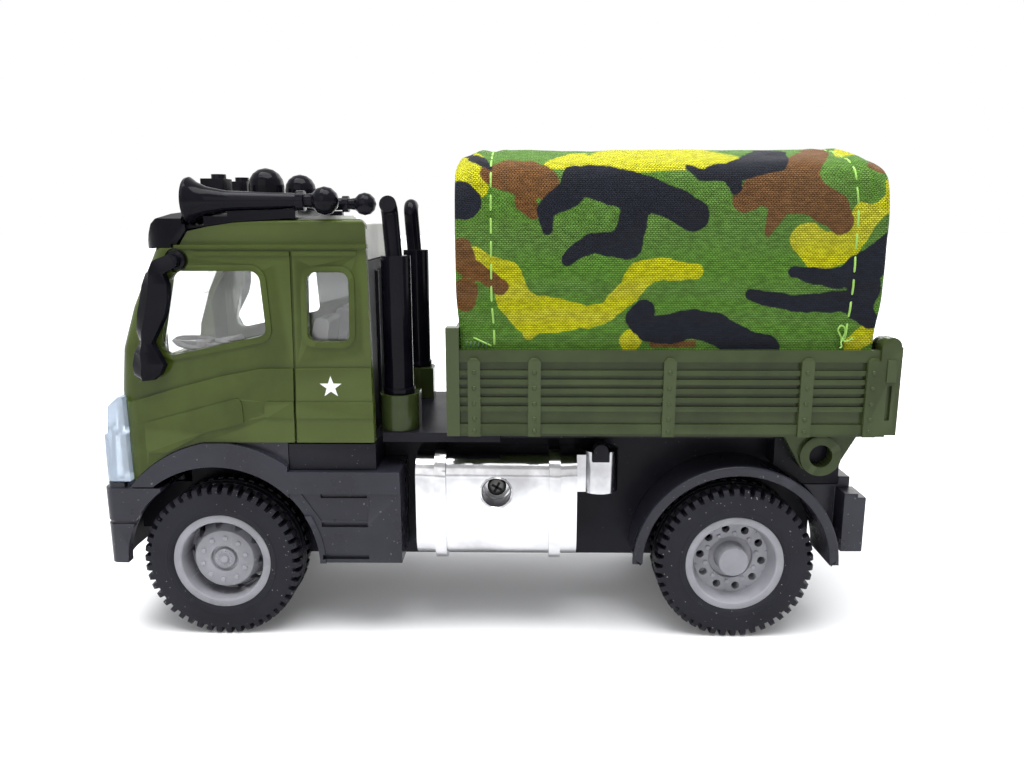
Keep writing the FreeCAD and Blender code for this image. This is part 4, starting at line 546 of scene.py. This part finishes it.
def make_rim(end, side, sign):
    """Pressed wheel: flange, barrel, disc with ten hand holes, ten bolts and a hub."""
    low, high = node_box(f"rim_{end}_{side}")
    centre = (low + high) / 2
    axis = Vector((0, sign, 0))
    hole_circle, hole_radius, bolt_circle, bolt_radius, bolt_foot = WHEEL_FACES[end]
    form = Form()
    if end == "rear":
        form.lathe(REAR_BARREL, centre, axis, 96)
        form.lathe(REAR_HUB, centre, axis, 96)
        drilled_disc(form, centre, axis, hole_circle, hole_radius)
    else:
        form.lathe([*RIM_BACK, *RIM_FLANGE, *FRONT_FACE, *PIN_BORE], centre, axis, 96)
    piece = form.place(f"PressedRim_{end}_{side}", "rim", end + "_wheels", "rim_grey")
    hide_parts(f"rim_{end}_{side}")
    if end == "front":
        drill(piece, centre, axis, hole_circle, hole_radius)

    heads = Form()
    cap_circle, cap_foot, cap_radius, cap_height = CAP_BOLTS
    for number in range(HOLES):
        turn = hole_turn(number + 0.5)
        bolt(heads, wheel_spot(centre, axis, turn, bolt_circle, bolt_foot), axis, bolt_radius, BOLT_HEIGHT)
        if end == "front":
            bolt(heads, wheel_spot(centre, axis, turn, cap_circle, cap_foot), axis, cap_radius, cap_height)
    heads.place(f"WheelBolts_{end}_{side}", "rim", end + "_wheels", "rim_grey")


# ---------------------------------------------------------------- canopy cloth

cover_low, cover_high = node_box("canopy_cover")
CLOTH_FRONT = cover_high.x
CLOTH_LENGTH = cover_high.x - cover_low.x
CLOTH_THICKNESS = 0.3
# half of the cross-section from foot to crown: distance from the middle, height
CLOTH_SECTION = (
    (17.35, 46.5), (17.38, 48.0), (17.72, 52.5), (18.1, 58.0), (18.2, 62.5), (18.12, 67.0), (17.85, 70.4),
    (17.25, 72.7), (16.1, 73.95), (14.0, 74.8), (11.0, 75.6), (7.5, 76.3), (4.0, 76.75), (0.0, 76.95),
)
# across the cloth's length: the places of the two hem seams
FRONT_SEAM, REAR_SEAM = 4.9, 57.4
# heights between which the cloth leaves the side boards, and between which it turns over to the crown
LEAVES, TURNS = (48.5, 56.0), (66.0, 75.5)
# at the open ends: reach of the sag, how far the crown sinks and narrows, and how far the free ends stand out
END_REACH, END_SINK, END_NARROW, END_PUFF = 4.2, 1.15, 0.035, 0.015
# swelling between the hoops: height, size and shift of each wave
WAVES = ((0.24, 11.0, (0, 0, 0)), (0.16, 4.3, (7, 3, 0)))
# a seam's groove and the ridge on each side of it: depth, half width, distance from the seam
GROOVE, RIDGE = (0.24, 0.8, 0.0), (0.12, 0.8, 1.7)
REAR_SEAM_BEND = 0.9
HEM_HEIGHT, HEM_EDGE = 0.14, (0.6, 1.6)
# from the cloth's free edge: distance along it and depth below it of the turned-in hem
TURNED_IN = ((1.0, -0.62), (0.45, -0.6), (0.12, -0.42), (0.0, -0.15))
# the left side's print is laid out on an upright plane this far from the middle, from this height up
PRINT_PLANE, PRINT_FOOT = 17.5, 47.1
# how far short of the crown that print ends, and the seed of the scattered one beyond it
PRINT_SHORT, PRINT_SEED = 5.0, 11
# patches of the print, each a chain of discs: back from the front edge, up from the side board, radius
PRINT = {
    "black": (
        ((16.6, 24.7, 1.9), (20.3, 24.3, 2.5), (25.4, 23, 2.7), (30.4, 21.8, 2.3), (34.1, 19.6, 2.3)),
        ((25.4, 19.6, 2.1), (24.5, 15.4, 2.1), (19.5, 15.8, 1.5), (16.6, 14.1, 1.25), (15.8, 13.5, 1.05)),
        ((16.2, 23, 2.1), (12.4, 20.5, 1.25), (12.8, 17.9, .85)),
        ((0.3, 21.8, 2.7),),
        ((32.9, 26.4, .4), (34.9, 25.4, .85), (38.7, 25.6, 1.25), (42.9, 26.9, 1.7), (45.8, 27.1, 1.5)),
        ((39.5, 24.7, 1.25), (40, 23.5, .85)),
        ((27.4, 6, 1.5), (25.8, 4.8, 1.5), (27.9, 3.1, 1.9), (31.2, 3.1, 2.3), (34.5, 3.9, 2.1),
         (37.9, 3.1, 2.3), (42.5, .9, 2.1), (45.8, .1, 2.1)),
        ((49.1, 11.6, .9), (52.5, 10.9, 1.25), (56.2, 10.7, 1.5), (58.7, 11.6, 2.5), (61.2, 13.3, 2.5),
         (62.5, 16.2, 1.25)),
        ((59.5, 9.9, 2.5), (59.1, 6.5, 2.1), (60.8, 4.3, 1.25)),
        ((42.9, 8.2, .9), (45.8, 7.5, 1.05), (50.8, 6.9, 1.25), (56.2, 7.3, 1.7), (59.1, 7.3, 2.1)),
        ((.8, 28.1, .35), (2.4, 27.5, .6), (4.5, 26.4, .4)),
    ),
    "brown": (
        ((4.1, 25.4, 1.25), (7, 25.2, 2.1), (10.3, 24.7, 2.5), (12.4, 24.3, 2.1)),
        ((9.5, 21.8, 1.5), (10.8, 20.3, 1.05)),
        ((41.2, 21.8, 1.7), (43.7, 23.5, 2.5), (47, 23, 2.9), (51.2, 23, 3.3), (54.1, 20.5, 2.5),
         (55.4, 18.8, 1.9)),
        ((48.7, 26, 2.1), (51.2, 27.7, 1.7)),
        ((45.8, 19.6, 1.25), (45, 17.1, .5)),
        ((.3, 15.4, 1.25), (.8, 12.4, 1.5), (3.3, 11.1, 1.25), (6, 9.4, 1.25)),
        ((.8, 9, 1.7), (.8, 7.3, 1.5)),
        ((28.7, .85, .5), (34.9, .85, .5)),
        ((58.7, 26.4, .6), (61.2, 25.8, .5)),
    ),
    "yellow": (
        ((1.2, 26.4, 2.5), (2.4, 23.9, 1.7)),
        ((12.8, 26.6, .6), (20.3, 27.7, 1.7), (25.8, 27.5, 1.9), (32, 27.7, 1.7), (38.7, 26.9, 1.05),
         (40.8, 26.9, .6)),
        ((2.2, 14.5, .85), (3.7, 12.4, 1.5), (7, 11.1, 2.1), (7.8, 7.3, 2.5), (10.3, 5.2, 2.9),
         (14.5, 5.2, 2.5), (18.7, 4.8, 1.7), (22, 5.8, 1.5), (24.5, 8.2, 1.7), (26.2, 11.1, 1.9),
         (29.5, 12, 1.7), (34.5, 11.6, 1.2)),
        ((10.3, 2.6, 1.25),),
        ((50.8, 16.2, 2.5), (52.9, 14.5, 2.9), (56.2, 15.4, 2.5), (58.7, 19.2, 2.1), (60.8, 21.8, 2.1),
         (61.6, 23, 1.7)),
        ((58.7, .9, 1.5), (60.8, 2.6, 1.5)),
        ((25.4, 1.4, 1.7),),
        ((54.5, 28.3, .85), (57, 28.8, .6)),
    ),
    "patch": (
        ((7, 29.5, 1.5), (13, 30.0, 1.5), (18.7, 29.5, 1.5)),
        ((54.1, 25.6, 2.1), (57, 24.7, 2.5), (59.5, 23.5, 2.1)),
    ),
}


def spline(points, count):
    """Points at even spacing along a smooth curve through the given ones."""
    path = []
    for index in range(len(points) - 1):
        p0, p1, p2, p3 = (Vector(points[max(0, min(len(points) - 1, index + k))]) for k in (-1, 0, 1, 2))
        for step in range(12):
            t = step / 12
            path.append(0.5 * (
                2 * p1 + (p2 - p0) * t + (2 * p0 - 5 * p1 + 4 * p2 - p3) * t * t
                + (3 * p1 - p0 - 3 * p2 + p3) * t ** 3))
    path.append(Vector(points[-1]))
    lengths = [0.0]
    for before, after in zip(path, path[1:]):
        lengths.append(lengths[-1] + (after - before).length)
    result = []
    index = 0
    for number in range(count):
        target = lengths[-1] * number / (count - 1)
        while index < len(path) - 2 and lengths[index + 1] < target:
            index += 1
        span = lengths[index + 1] - lengths[index]
        result.append(path[index].lerp(path[index + 1], (target - lengths[index]) / span if span else 0.0))
    return result, lengths[-1]


half_section, half_girth = spline(CLOTH_SECTION, 84)
# the whole section from the left foot to the right one, and its girth
SECTION = [(y, z) for y, z in half_section] + [(-y, z) for y, z in reversed(half_section[:-1])]
GIRTH = half_girth * 2


def smooth(value, low, high):
    """0 below low, 1 above high, and an S curve between them."""
    share = max(0.0, min(1.0, (value - low) / (high - low)))
    return share * share * (3 - 2 * share)


def cloth_point(u, s, lift=0.0):
    """Point on the cloth u behind its front edge and s round from its left foot, lifted off the cloth."""
    place = max(0.0, min(len(SECTION) - 1.001, s / GIRTH * (len(SECTION) - 1)))
    index = int(place)
    (y0, z0), (y1, z1) = SECTION[index], SECTION[index + 1]
    share = place - index
    y, z = y0 + (y1 - y0) * share, z0 + (z1 - z0) * share
    tangent = Vector((y1 - y0, z1 - z0)).normalized()
    out_y, out_z = tangent.y, -tangent.x
    edge = min(u, CLOTH_LENGTH - u)
    free = smooth(z, *LEAVES)
    ends = 1 - smooth(edge, 0.0, END_REACH)
    crown = smooth(z, *TURNS)
    z -= END_SINK * ends ** 2 * crown
    y *= 1 - END_NARROW * ends ** 2 * crown
    swell = sum(
        height * noise.noise(Vector((u, s, 0.0)) / size + Vector(shift)) for height, size, shift in WAVES)
    for seam in (FRONT_SEAM, REAR_SEAM - REAR_SEAM_BEND * crown):
        for sign, (height, width, distance) in ((-1, GROOVE), (1, RIDGE)):
            swell += sign * height * math.exp(-((abs(u - seam) - distance) / width) ** 2)
    hem = HEM_HEIGHT * (1 - smooth(edge, *HEM_EDGE))
    push = (swell + hem) * free + lift
    middle = CLOTH_FRONT - CLOTH_LENGTH / 2
    x = middle + (CLOTH_LENGTH / 2 - u) * (1 + END_PUFF * free)
    return Vector((x, y + out_y * push, z + out_z * push))


def chain_distance(chains, u, v):
    """Signed distance from every (u, v) to the nearest capsule of the chains."""
    nearest = np.full(u.shape, 9.0)
    for chain in chains:
        links = list(zip(chain, chain[1:])) or [(chain[0], chain[0])]
        for (u0, v0, r0), (u1, v1, r1) in links:
            du, dv = u1 - u0, v1 - v0
            length = du * du + dv * dv
            share = np.clip(((u - u0) * du + (v - v0) * dv) / length, 0, 1) if length else np.zeros(u.shape)
            gap = np.hypot(u - u0 - du * share, v - v0 - dv * share) - (r0 + (r1 - r0) * share)
            nearest = np.minimum(nearest, gap)
    return nearest


def random_print(rng, start, stop):
    """Wandering patches, scattered from start to stop round the cloth's girth."""
    chains = {layer: [] for layer in PRINT}
    for layer, count, thick in (("yellow", 9, 2.3), ("brown", 8, 2.2), ("black", 11, 2.0), ("patch", 4, 1.5)):
        for _ in range(count):
            u, v = rng.uniform(0, CLOTH_LENGTH), rng.uniform(start, stop)
            heading = rng.uniform(-0.5, 0.5) + rng.choice((0, math.pi))
            chain = []
            for _ in range(rng.randint(3, 6)):
                chain.append((u, v, thick * rng.uniform(0.5, 1.25)))
                heading += rng.uniform(-0.7, 0.7)
                step = rng.uniform(2.6, 4.6)
                u, v = u + math.cos(heading) * step, v + math.sin(heading) * step
            chains[layer].append(tuple(chain))
    return chains


def make_canopy_cloth():
    """One sheet of printed cotton over the hoops, hemmed at both ends and tucked inside the side boards."""
    count, bend = 122, 0.15
    columns = list(TURNED_IN)
    columns += [(bend + (CLOTH_LENGTH - 2 * bend) * i / (count - 1), 0.0) for i in range(count)]
    columns += [(CLOTH_LENGTH - u, lift) for u, lift in reversed(TURNED_IN)]
    around = len(SECTION)
    form = Form()
    places = []
    rows = []
    for u, lift in columns:
        row = []
        for j in range(around):
            s = GIRTH * j / (around - 1)
            row.append(cloth_point(u, s, lift))
            places.append((u, s))
        rows.append(row)
    form.grid(rows)
    piece = form.place("CanopyCloth", "canvas", "bed", "canvas", 60.0, closed=False)
    data = piece.data
    points = np.array([tuple(vertex) for row in rows for vertex in row])
    near = (VIEW.y - PRINT_PLANE) / (VIEW.y - points[:, 1])
    seen_u = CLOTH_FRONT - (VIEW.x + (points[:, 0] - VIEW.x) * near)
    seen_v = VIEW.z + (points[:, 2] - VIEW.z) * near - PRINT_FOOT
    own = np.array(places)
    left_part = GIRTH / 2 - PRINT_SHORT
    past = own[:, 1] - left_part
    scattered = random_print(random.Random(PRINT_SEED), left_part, GIRTH)
    for layer, chains in PRINT.items():
        field = np.minimum(
            chain_distance(chains, seen_u, seen_v) + np.maximum(past, 0.0),
            chain_distance(scattered[layer], own[:, 0], own[:, 1]) + np.maximum(-past, 0.0))
        attribute = data.attributes.new(layer, "FLOAT", "POINT")
        attribute.data.foreach_set("value", field.astype(np.float32))
    uv = data.uv_layers.new(name="Cloth")
    for loop in data.loops:
        uv.data[loop.index].uv = places[loop.vertex_index]
    thick = piece.modifiers.new("Thickness", "SOLIDIFY")
    thick.thickness = CLOTH_THICKNESS * MM
    thick.offset = -1.0
    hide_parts("canopy_cover")
    threads = make_stitches()


# how far a stitch stands off the cloth at its middle, and how deep it dives at its ends
STITCH_PROUD, STITCH_DIVE = 0.36, 0.15
STITCH_PITCH, STITCH_LENGTH = 3.3, 3.0
# the seams' places, and where round the girth their first stitch starts
SEAMS = ((FRONT_SEAM, 0.9), (REAR_SEAM, 1.9))
SEAM_END = 2.2
# cord radius of the seam, the corner stitch and the overcast stitches
SEAM_CORD, CORNER_CORD, OVERCAST_CORD = 0.17, 0.14, 0.13
CORNER_STITCH = ((FRONT_SEAM, 0.9), (FRONT_SEAM - 3.6, 2.6))
OVERCAST_COUNT, OVERCAST_PITCH = 6, 0.62
OVERCAST = ((0.5, 0.6), (0.85, 2.0))
# the knot's place, ball and cords: steps from its middle, then the cord's radius
KNOT, KNOT_BALL = (REAR_SEAM - 0.4, 2.2, 0.3), 0.33
KNOT_LOOP = (
    (0.0, 0.0, 0.0), (0.5, 0.3, 0.7), (0.9, 0.45, 1.5), (0.5, 0.45, 2.1), (-0.1, 0.35, 1.7), (-0.2, 0.3, 0.9),
    (0.05, 0.1, 0.1),
)
KNOT_TAILS = (
    ((0, 0, 0), (-0.4, 0.35, -0.3), (-0.9, 0.5, -0.1), (-1.3, 0.5, 0.3)),
    ((0, 0, 0), (0.3, 0.4, -0.5), (0.2, 0.55, -1.0), (0.5, 0.6, -1.3)),
)
LOOP_CORD, TAIL_CORD = 0.13, 0.12


def stitch(form, start, stop, radius):
    """One stitch on the cloth between two (u, s) places: a short arched cord that dives in at both ends."""
    points = []
    for step in range(7):
        t = step / 6
        arch = max(0.0, math.sin(math.pi * t)) ** 0.35
        u, s = (a + (b - a) * t for a, b in zip(start, stop))
        points.append(cloth_point(u, s, -STITCH_DIVE + (STITCH_PROUD + STITCH_DIVE) * arch))
    form.tube(points, radius, 8)


def make_stitches():
    """Hem seams over the whole girth, a diagonal stitch, overcast stitches and the knot with its loop."""
    light, dark = Form(), Form()
    for seam, phase in SEAMS:
        for number in range(int((GIRTH - SEAM_END) / STITCH_PITCH)):
            start = phase + STITCH_PITCH * number
            ends = []
            for s in (start, start + STITCH_LENGTH):
                y, z = SECTION[min(len(SECTION) - 1, int(s / GIRTH * (len(SECTION) - 1)))]
                bend = REAR_SEAM_BEND * smooth(z, *TURNS) if seam == REAR_SEAM else 0.0
                ends.append((seam - bend, s))
            stitch(light, ends[0], ends[1], SEAM_CORD)
    stitch(light, *CORNER_STITCH, CORNER_CORD)
    for number in range(OVERCAST_COUNT):
        stitch(dark, *[(u + OVERCAST_PITCH * number, s) for u, s in OVERCAST], OVERCAST_CORD)
    knot = cloth_point(*KNOT)
    light.tube(spline([knot + Vector(step) for step in KNOT_LOOP], 22)[0], LOOP_CORD, 8)
    for tail in KNOT_TAILS:
        light.tube(spline([knot + Vector(step) for step in tail], 12)[0], TAIL_CORD, 8)
    turns = (-1.57, -0.9, -0.3, 0.3, 0.9, 1.57)
    ball = [(KNOT_BALL * math.cos(turn), KNOT_BALL * math.sin(turn)) for turn in turns]
    light.lathe(ball, knot, (0, 1, 0), 16)
    return [
        light.place("SeamThread", "thread", "bed", "canvas", 60.0),
        dark.place("OvercastThread", "dark_thread", "bed", "canvas", 60.0)]


# ---------------------------------------------------------------- bed, cab and tank details

# places of the side boards' ribs as shares of the bed's length, and their rivets' heights
RIB_SHARES, RIVET_HEIGHTS = (0.062, 0.196, 0.495, 0.797, 0.941), (34.7, 36.6, 39.0, 41.4, 43.8)
# distance from the middle, radius and height of a rivet
RIVET = (19.28, 0.34, 0.2)
# centre (x, z), outer and inner radius, and the two faces of the cab's star
STAR_X, STAR_Z, STAR_RADII, STAR_FACES = 24.7, 41.2, (1.75, 0.70), (17.7, 17.84)
# height of the tank's screw recess and distance of its mouth from the middle
RECESS_Z, RECESS_FACE = 24.2, 17.5
# outlines round the recess's axis, from its mouth: radius, distance outwards
RECESS_RING = ((2.3, -0.3), (2.3, 0.12), (2.45, 0.26), (2.62, 0.12), (2.72, -0.3))
# the sleeve is painted shade: a black lining that darkens the deep recess's walls
RECESS_SHADE_SLEEVE = ((2.33, -3.35), (2.33, -0.2), (2.22, -0.2), (2.22, -3.3))
SCREW_HEAD = ((0.0, -3.7), (1.45, -3.7), (1.5, -3.2), (1.3, -2.9), (0.8, -2.76), (0.0, -2.72))
# half length, half width, turn, foot and top of the black cross, painted shade of the screw head's recess
CROSS = (0.9, 0.2, 0.5, -2.9, -2.66)
# foot, top and front of each tier of a headlight's reflector, its back, its slope and its two sides
REFLECTOR_TIERS = ((26.8, 33.2, 59.3), (34.3, 38.4, 58.7))
REFLECTOR_BACK, REFLECTOR_SLOPE, REFLECTOR_SIDES = 58.35, 0.3, (10.2, 16.9)


def make_rivets():
    """Rivets down each rib of the side boards."""
    low, high = node_box("cargo_bed")
    out, radius, height = RIVET
    for side, sign in SIDES:
        form = Form()
        for share in RIB_SHARES:
            for z in RIVET_HEIGHTS:
                foot = Vector((high.x - (high.x - low.x) * share, out * sign, z))
                bolt(form, foot, (0, sign, 0), radius, height)
        form.place("BedRivets_" + side, "bed", "bed", "bed_green")


def make_stars():
    """A plain white five-point star printed on each side of the cab."""
    for side, sign in SIDES:
        outline = []
        for number in range(10):
            turn = math.pi / 2 + math.pi * number / 5
            radius = STAR_RADII[number % 2]
            outline.append((STAR_X + radius * math.cos(turn), STAR_Z + radius * math.sin(turn)))
        form = Form()
        form.slab(outline, *[face * sign for face in STAR_FACES])
        form.place("Star_" + side, "white", "truck", "cab_paint")


def make_tank_details():
    """A bright ring round the tank's recess, a black sleeve in it as painted shade of the deep hole, and the
    cross-head screw in it.
    """
    half_length, half_width, first_turn, foot, top = CROSS
    for side, sign in SIDES:
        low, high = node_box("fuel_tank_" + side)
        mouth = Vector(((low.x + high.x) / 2, RECESS_FACE * sign, RECESS_Z))
        for name, outline, steps, finish, slot in (
                ("RecessRing_", RECESS_RING, 64, "plated", "plated"),
                ("RecessShadeSleeve_", RECESS_SHADE_SLEEVE, 48, "black", "chassis_black"),
                ("TankScrew_", SCREW_HEAD, 48, "screw", "steel")):
            form = Form()
            form.lathe(outline, mouth, (0, sign, 0), steps)
            form.place(name + side, finish, "truck", slot)
        # painted shade: a black cross stands for the shade inside the screw's cross recess
        cross = Form()
        for turn in (first_turn, first_turn + math.pi / 2):
            x, z = math.cos(turn), math.sin(turn)
            outline = [
                (mouth.x + x * a - z * b, mouth.z + z * a + x * b)
                for a, b in (
                    (half_length, half_width), (half_length, -half_width), (-half_length, -half_width),
                    (-half_length, half_width))]
            cross.slab(outline, mouth.y + foot * sign, mouth.y + top * sign)
        cross.place("ScrewCrossShade_" + side, "gloss_black", "truck", "gloss_black")


def make_lamp_reflectors():
    """White reflector housings inside the clear headlights, in two tiers."""
    for side, sign in SIDES:
        form = Form()
        for foot, top, front in REFLECTOR_TIERS:
            outline = [
                (REFLECTOR_BACK, foot), (front, foot), (front - REFLECTOR_SLOPE, top), (REFLECTOR_BACK, top)]
            form.slab(outline, *[y * sign for y in REFLECTOR_SIDES])
        form.place("LampReflector_" + side, "reflector", "truck", "clear")


for end in ("front", "rear"):
    for side, sign in SIDES:
        make_tyre(end, side, sign)
        make_rim(end, side, sign)
make_canopy_cloth()
make_rivets()
make_stars()
make_tank_details()
make_lamp_reflectors()


# ---------------------------------------------------------------- studio

# distances from the truck's middle, in metres, over which the floor turns into the white surround
FLOOR_FADE, GLOW_FADE = (0.10, 0.30), (0.08, 0.30)
# the floor's own light, near and far, and the share of its colour that lights the truck from afar
GLOW, FAR_SHARE = (0.08, 0.75), 0.06
# height in the sky, as a part of 1, from which its light starts and at which it is full, and those strengths
SKY_SPAN, SKY_LIGHT = (0.55, 0.97), (0.10, 2.2)
# name, place, size, watts, share of its shine
LAMPS = (
    ("Overhead", (0.03, 0.08, 0.50), (0.50, 0.30), 3.6, 1.0),
    ("FrontFill", (0.20, 0.60, 0.30), (0.60, 0.40), 0.9, 0.2),
    ("BackFill", (-0.30, -0.50, 0.35), (0.50, 0.40), 1.2, 0.5),
)
LAMP_TARGET = Vector((0, 0, 0.03))


def make_floor():
    """A pale floor that keeps the truck's shadow and turns white away from it."""
    bpy.ops.mesh.primitive_plane_add(size=6.0, location=(0, 0, 0))
    floor = bpy.context.object
    floor.name = "Floor"
    shade = Shade("PaleSheet", Roughness=0.85, Specular_IOR_Level=0.0)
    seen = shade.background_rays()
    far = shade.add("ShaderNodeVectorMath", {0: shade.coordinates}, operation="LENGTH").outputs["Value"]
    sheet = shade.math("MAXIMUM", seen, shade.ramp(far, *FLOOR_FADE, 1.0, FAR_SHARE))
    shade.use("Base Color", shade.mix(sheet, rgb(0, 0, 0), rgb(0.80, 0.80, 0.81)))
    glow_power = shade.math("MULTIPLY", seen, shade.ramp(far, *GLOW_FADE, *GLOW))
    glow = shade.add("ShaderNodeEmission", {"Color": rgb(1, 1, 1), "Strength": glow_power})
    both = shade.add("ShaderNodeAddShader", {0: shade.shader.outputs[0], 1: glow.outputs[0]})
    shade.tree.links.new(both.outputs[0], shade.tree.nodes["Material Output"].inputs["Surface"])
    floor.data.materials.append(shade.material)


def make_surround():
    """A white surround, and a soft light that comes from high up in it."""
    world = bpy.data.worlds.new("Surround")
    bpy.context.scene.world = world
    world.use_nodes = True
    world.node_tree.nodes.clear()
    sky = NodeTree(world.node_tree)
    direction = sky.add("ShaderNodeTexCoord").outputs["Generated"]
    height = sky.add("ShaderNodeSeparateXYZ", {0: direction}).outputs["Z"]
    strength = sky.ramp(height, *SKY_SPAN, *SKY_LIGHT)
    lighting = sky.add("ShaderNodeBackground", {"Color": rgb(0.96, 0.98, 1.0), "Strength": strength})
    backdrop = sky.add("ShaderNodeBackground", {"Color": rgb(1, 1, 1), "Strength": 1.0})
    mix = sky.add(
        "ShaderNodeMixShader", {0: sky.background_rays(), 1: lighting.outputs[0], 2: backdrop.outputs[0]})
    sky.add("ShaderNodeOutputWorld", {0: mix.outputs[0]})


def make_lights():
    """A large soft box overhead, a wide one from the camera's side and a low fill behind."""
    for name, location, size, watts, shine in LAMPS:
        data = bpy.data.lights.new(name, "AREA")
        data.shape = "RECTANGLE"
        data.size, data.size_y = size
        data.energy = watts
        data.specular_factor = shine
        lamp = bpy.data.objects.new(name, data)
        lamp.location = location
        lamp.rotation_mode = "QUATERNION"
        lamp.rotation_quaternion = (LAMP_TARGET - Vector(location)).to_track_quat("-Z", "Y")
        bpy.context.scene.collection.objects.link(lamp)


def make_camera():
    """Close wide-angle view of the truck's left side from a little below the canopy's top."""
    data = bpy.data.cameras.new("Camera")
    data.lens = LENS
    data.sensor_width = SENSOR
    data.clip_start = 0.005
    data.clip_end = 20.0
    camera = bpy.data.objects.new("Camera", data)
    camera.location = VIEW * MM
    camera.rotation_euler = [math.radians(angle) for angle in ROTATION]
    bpy.context.scene.collection.objects.link(camera)
    bpy.context.scene.camera = camera


make_camera()
make_floor()
make_surround()
make_lights()
finish_cad_nodes()
bpy.context.scene.view_settings.view_transform = "Standard"
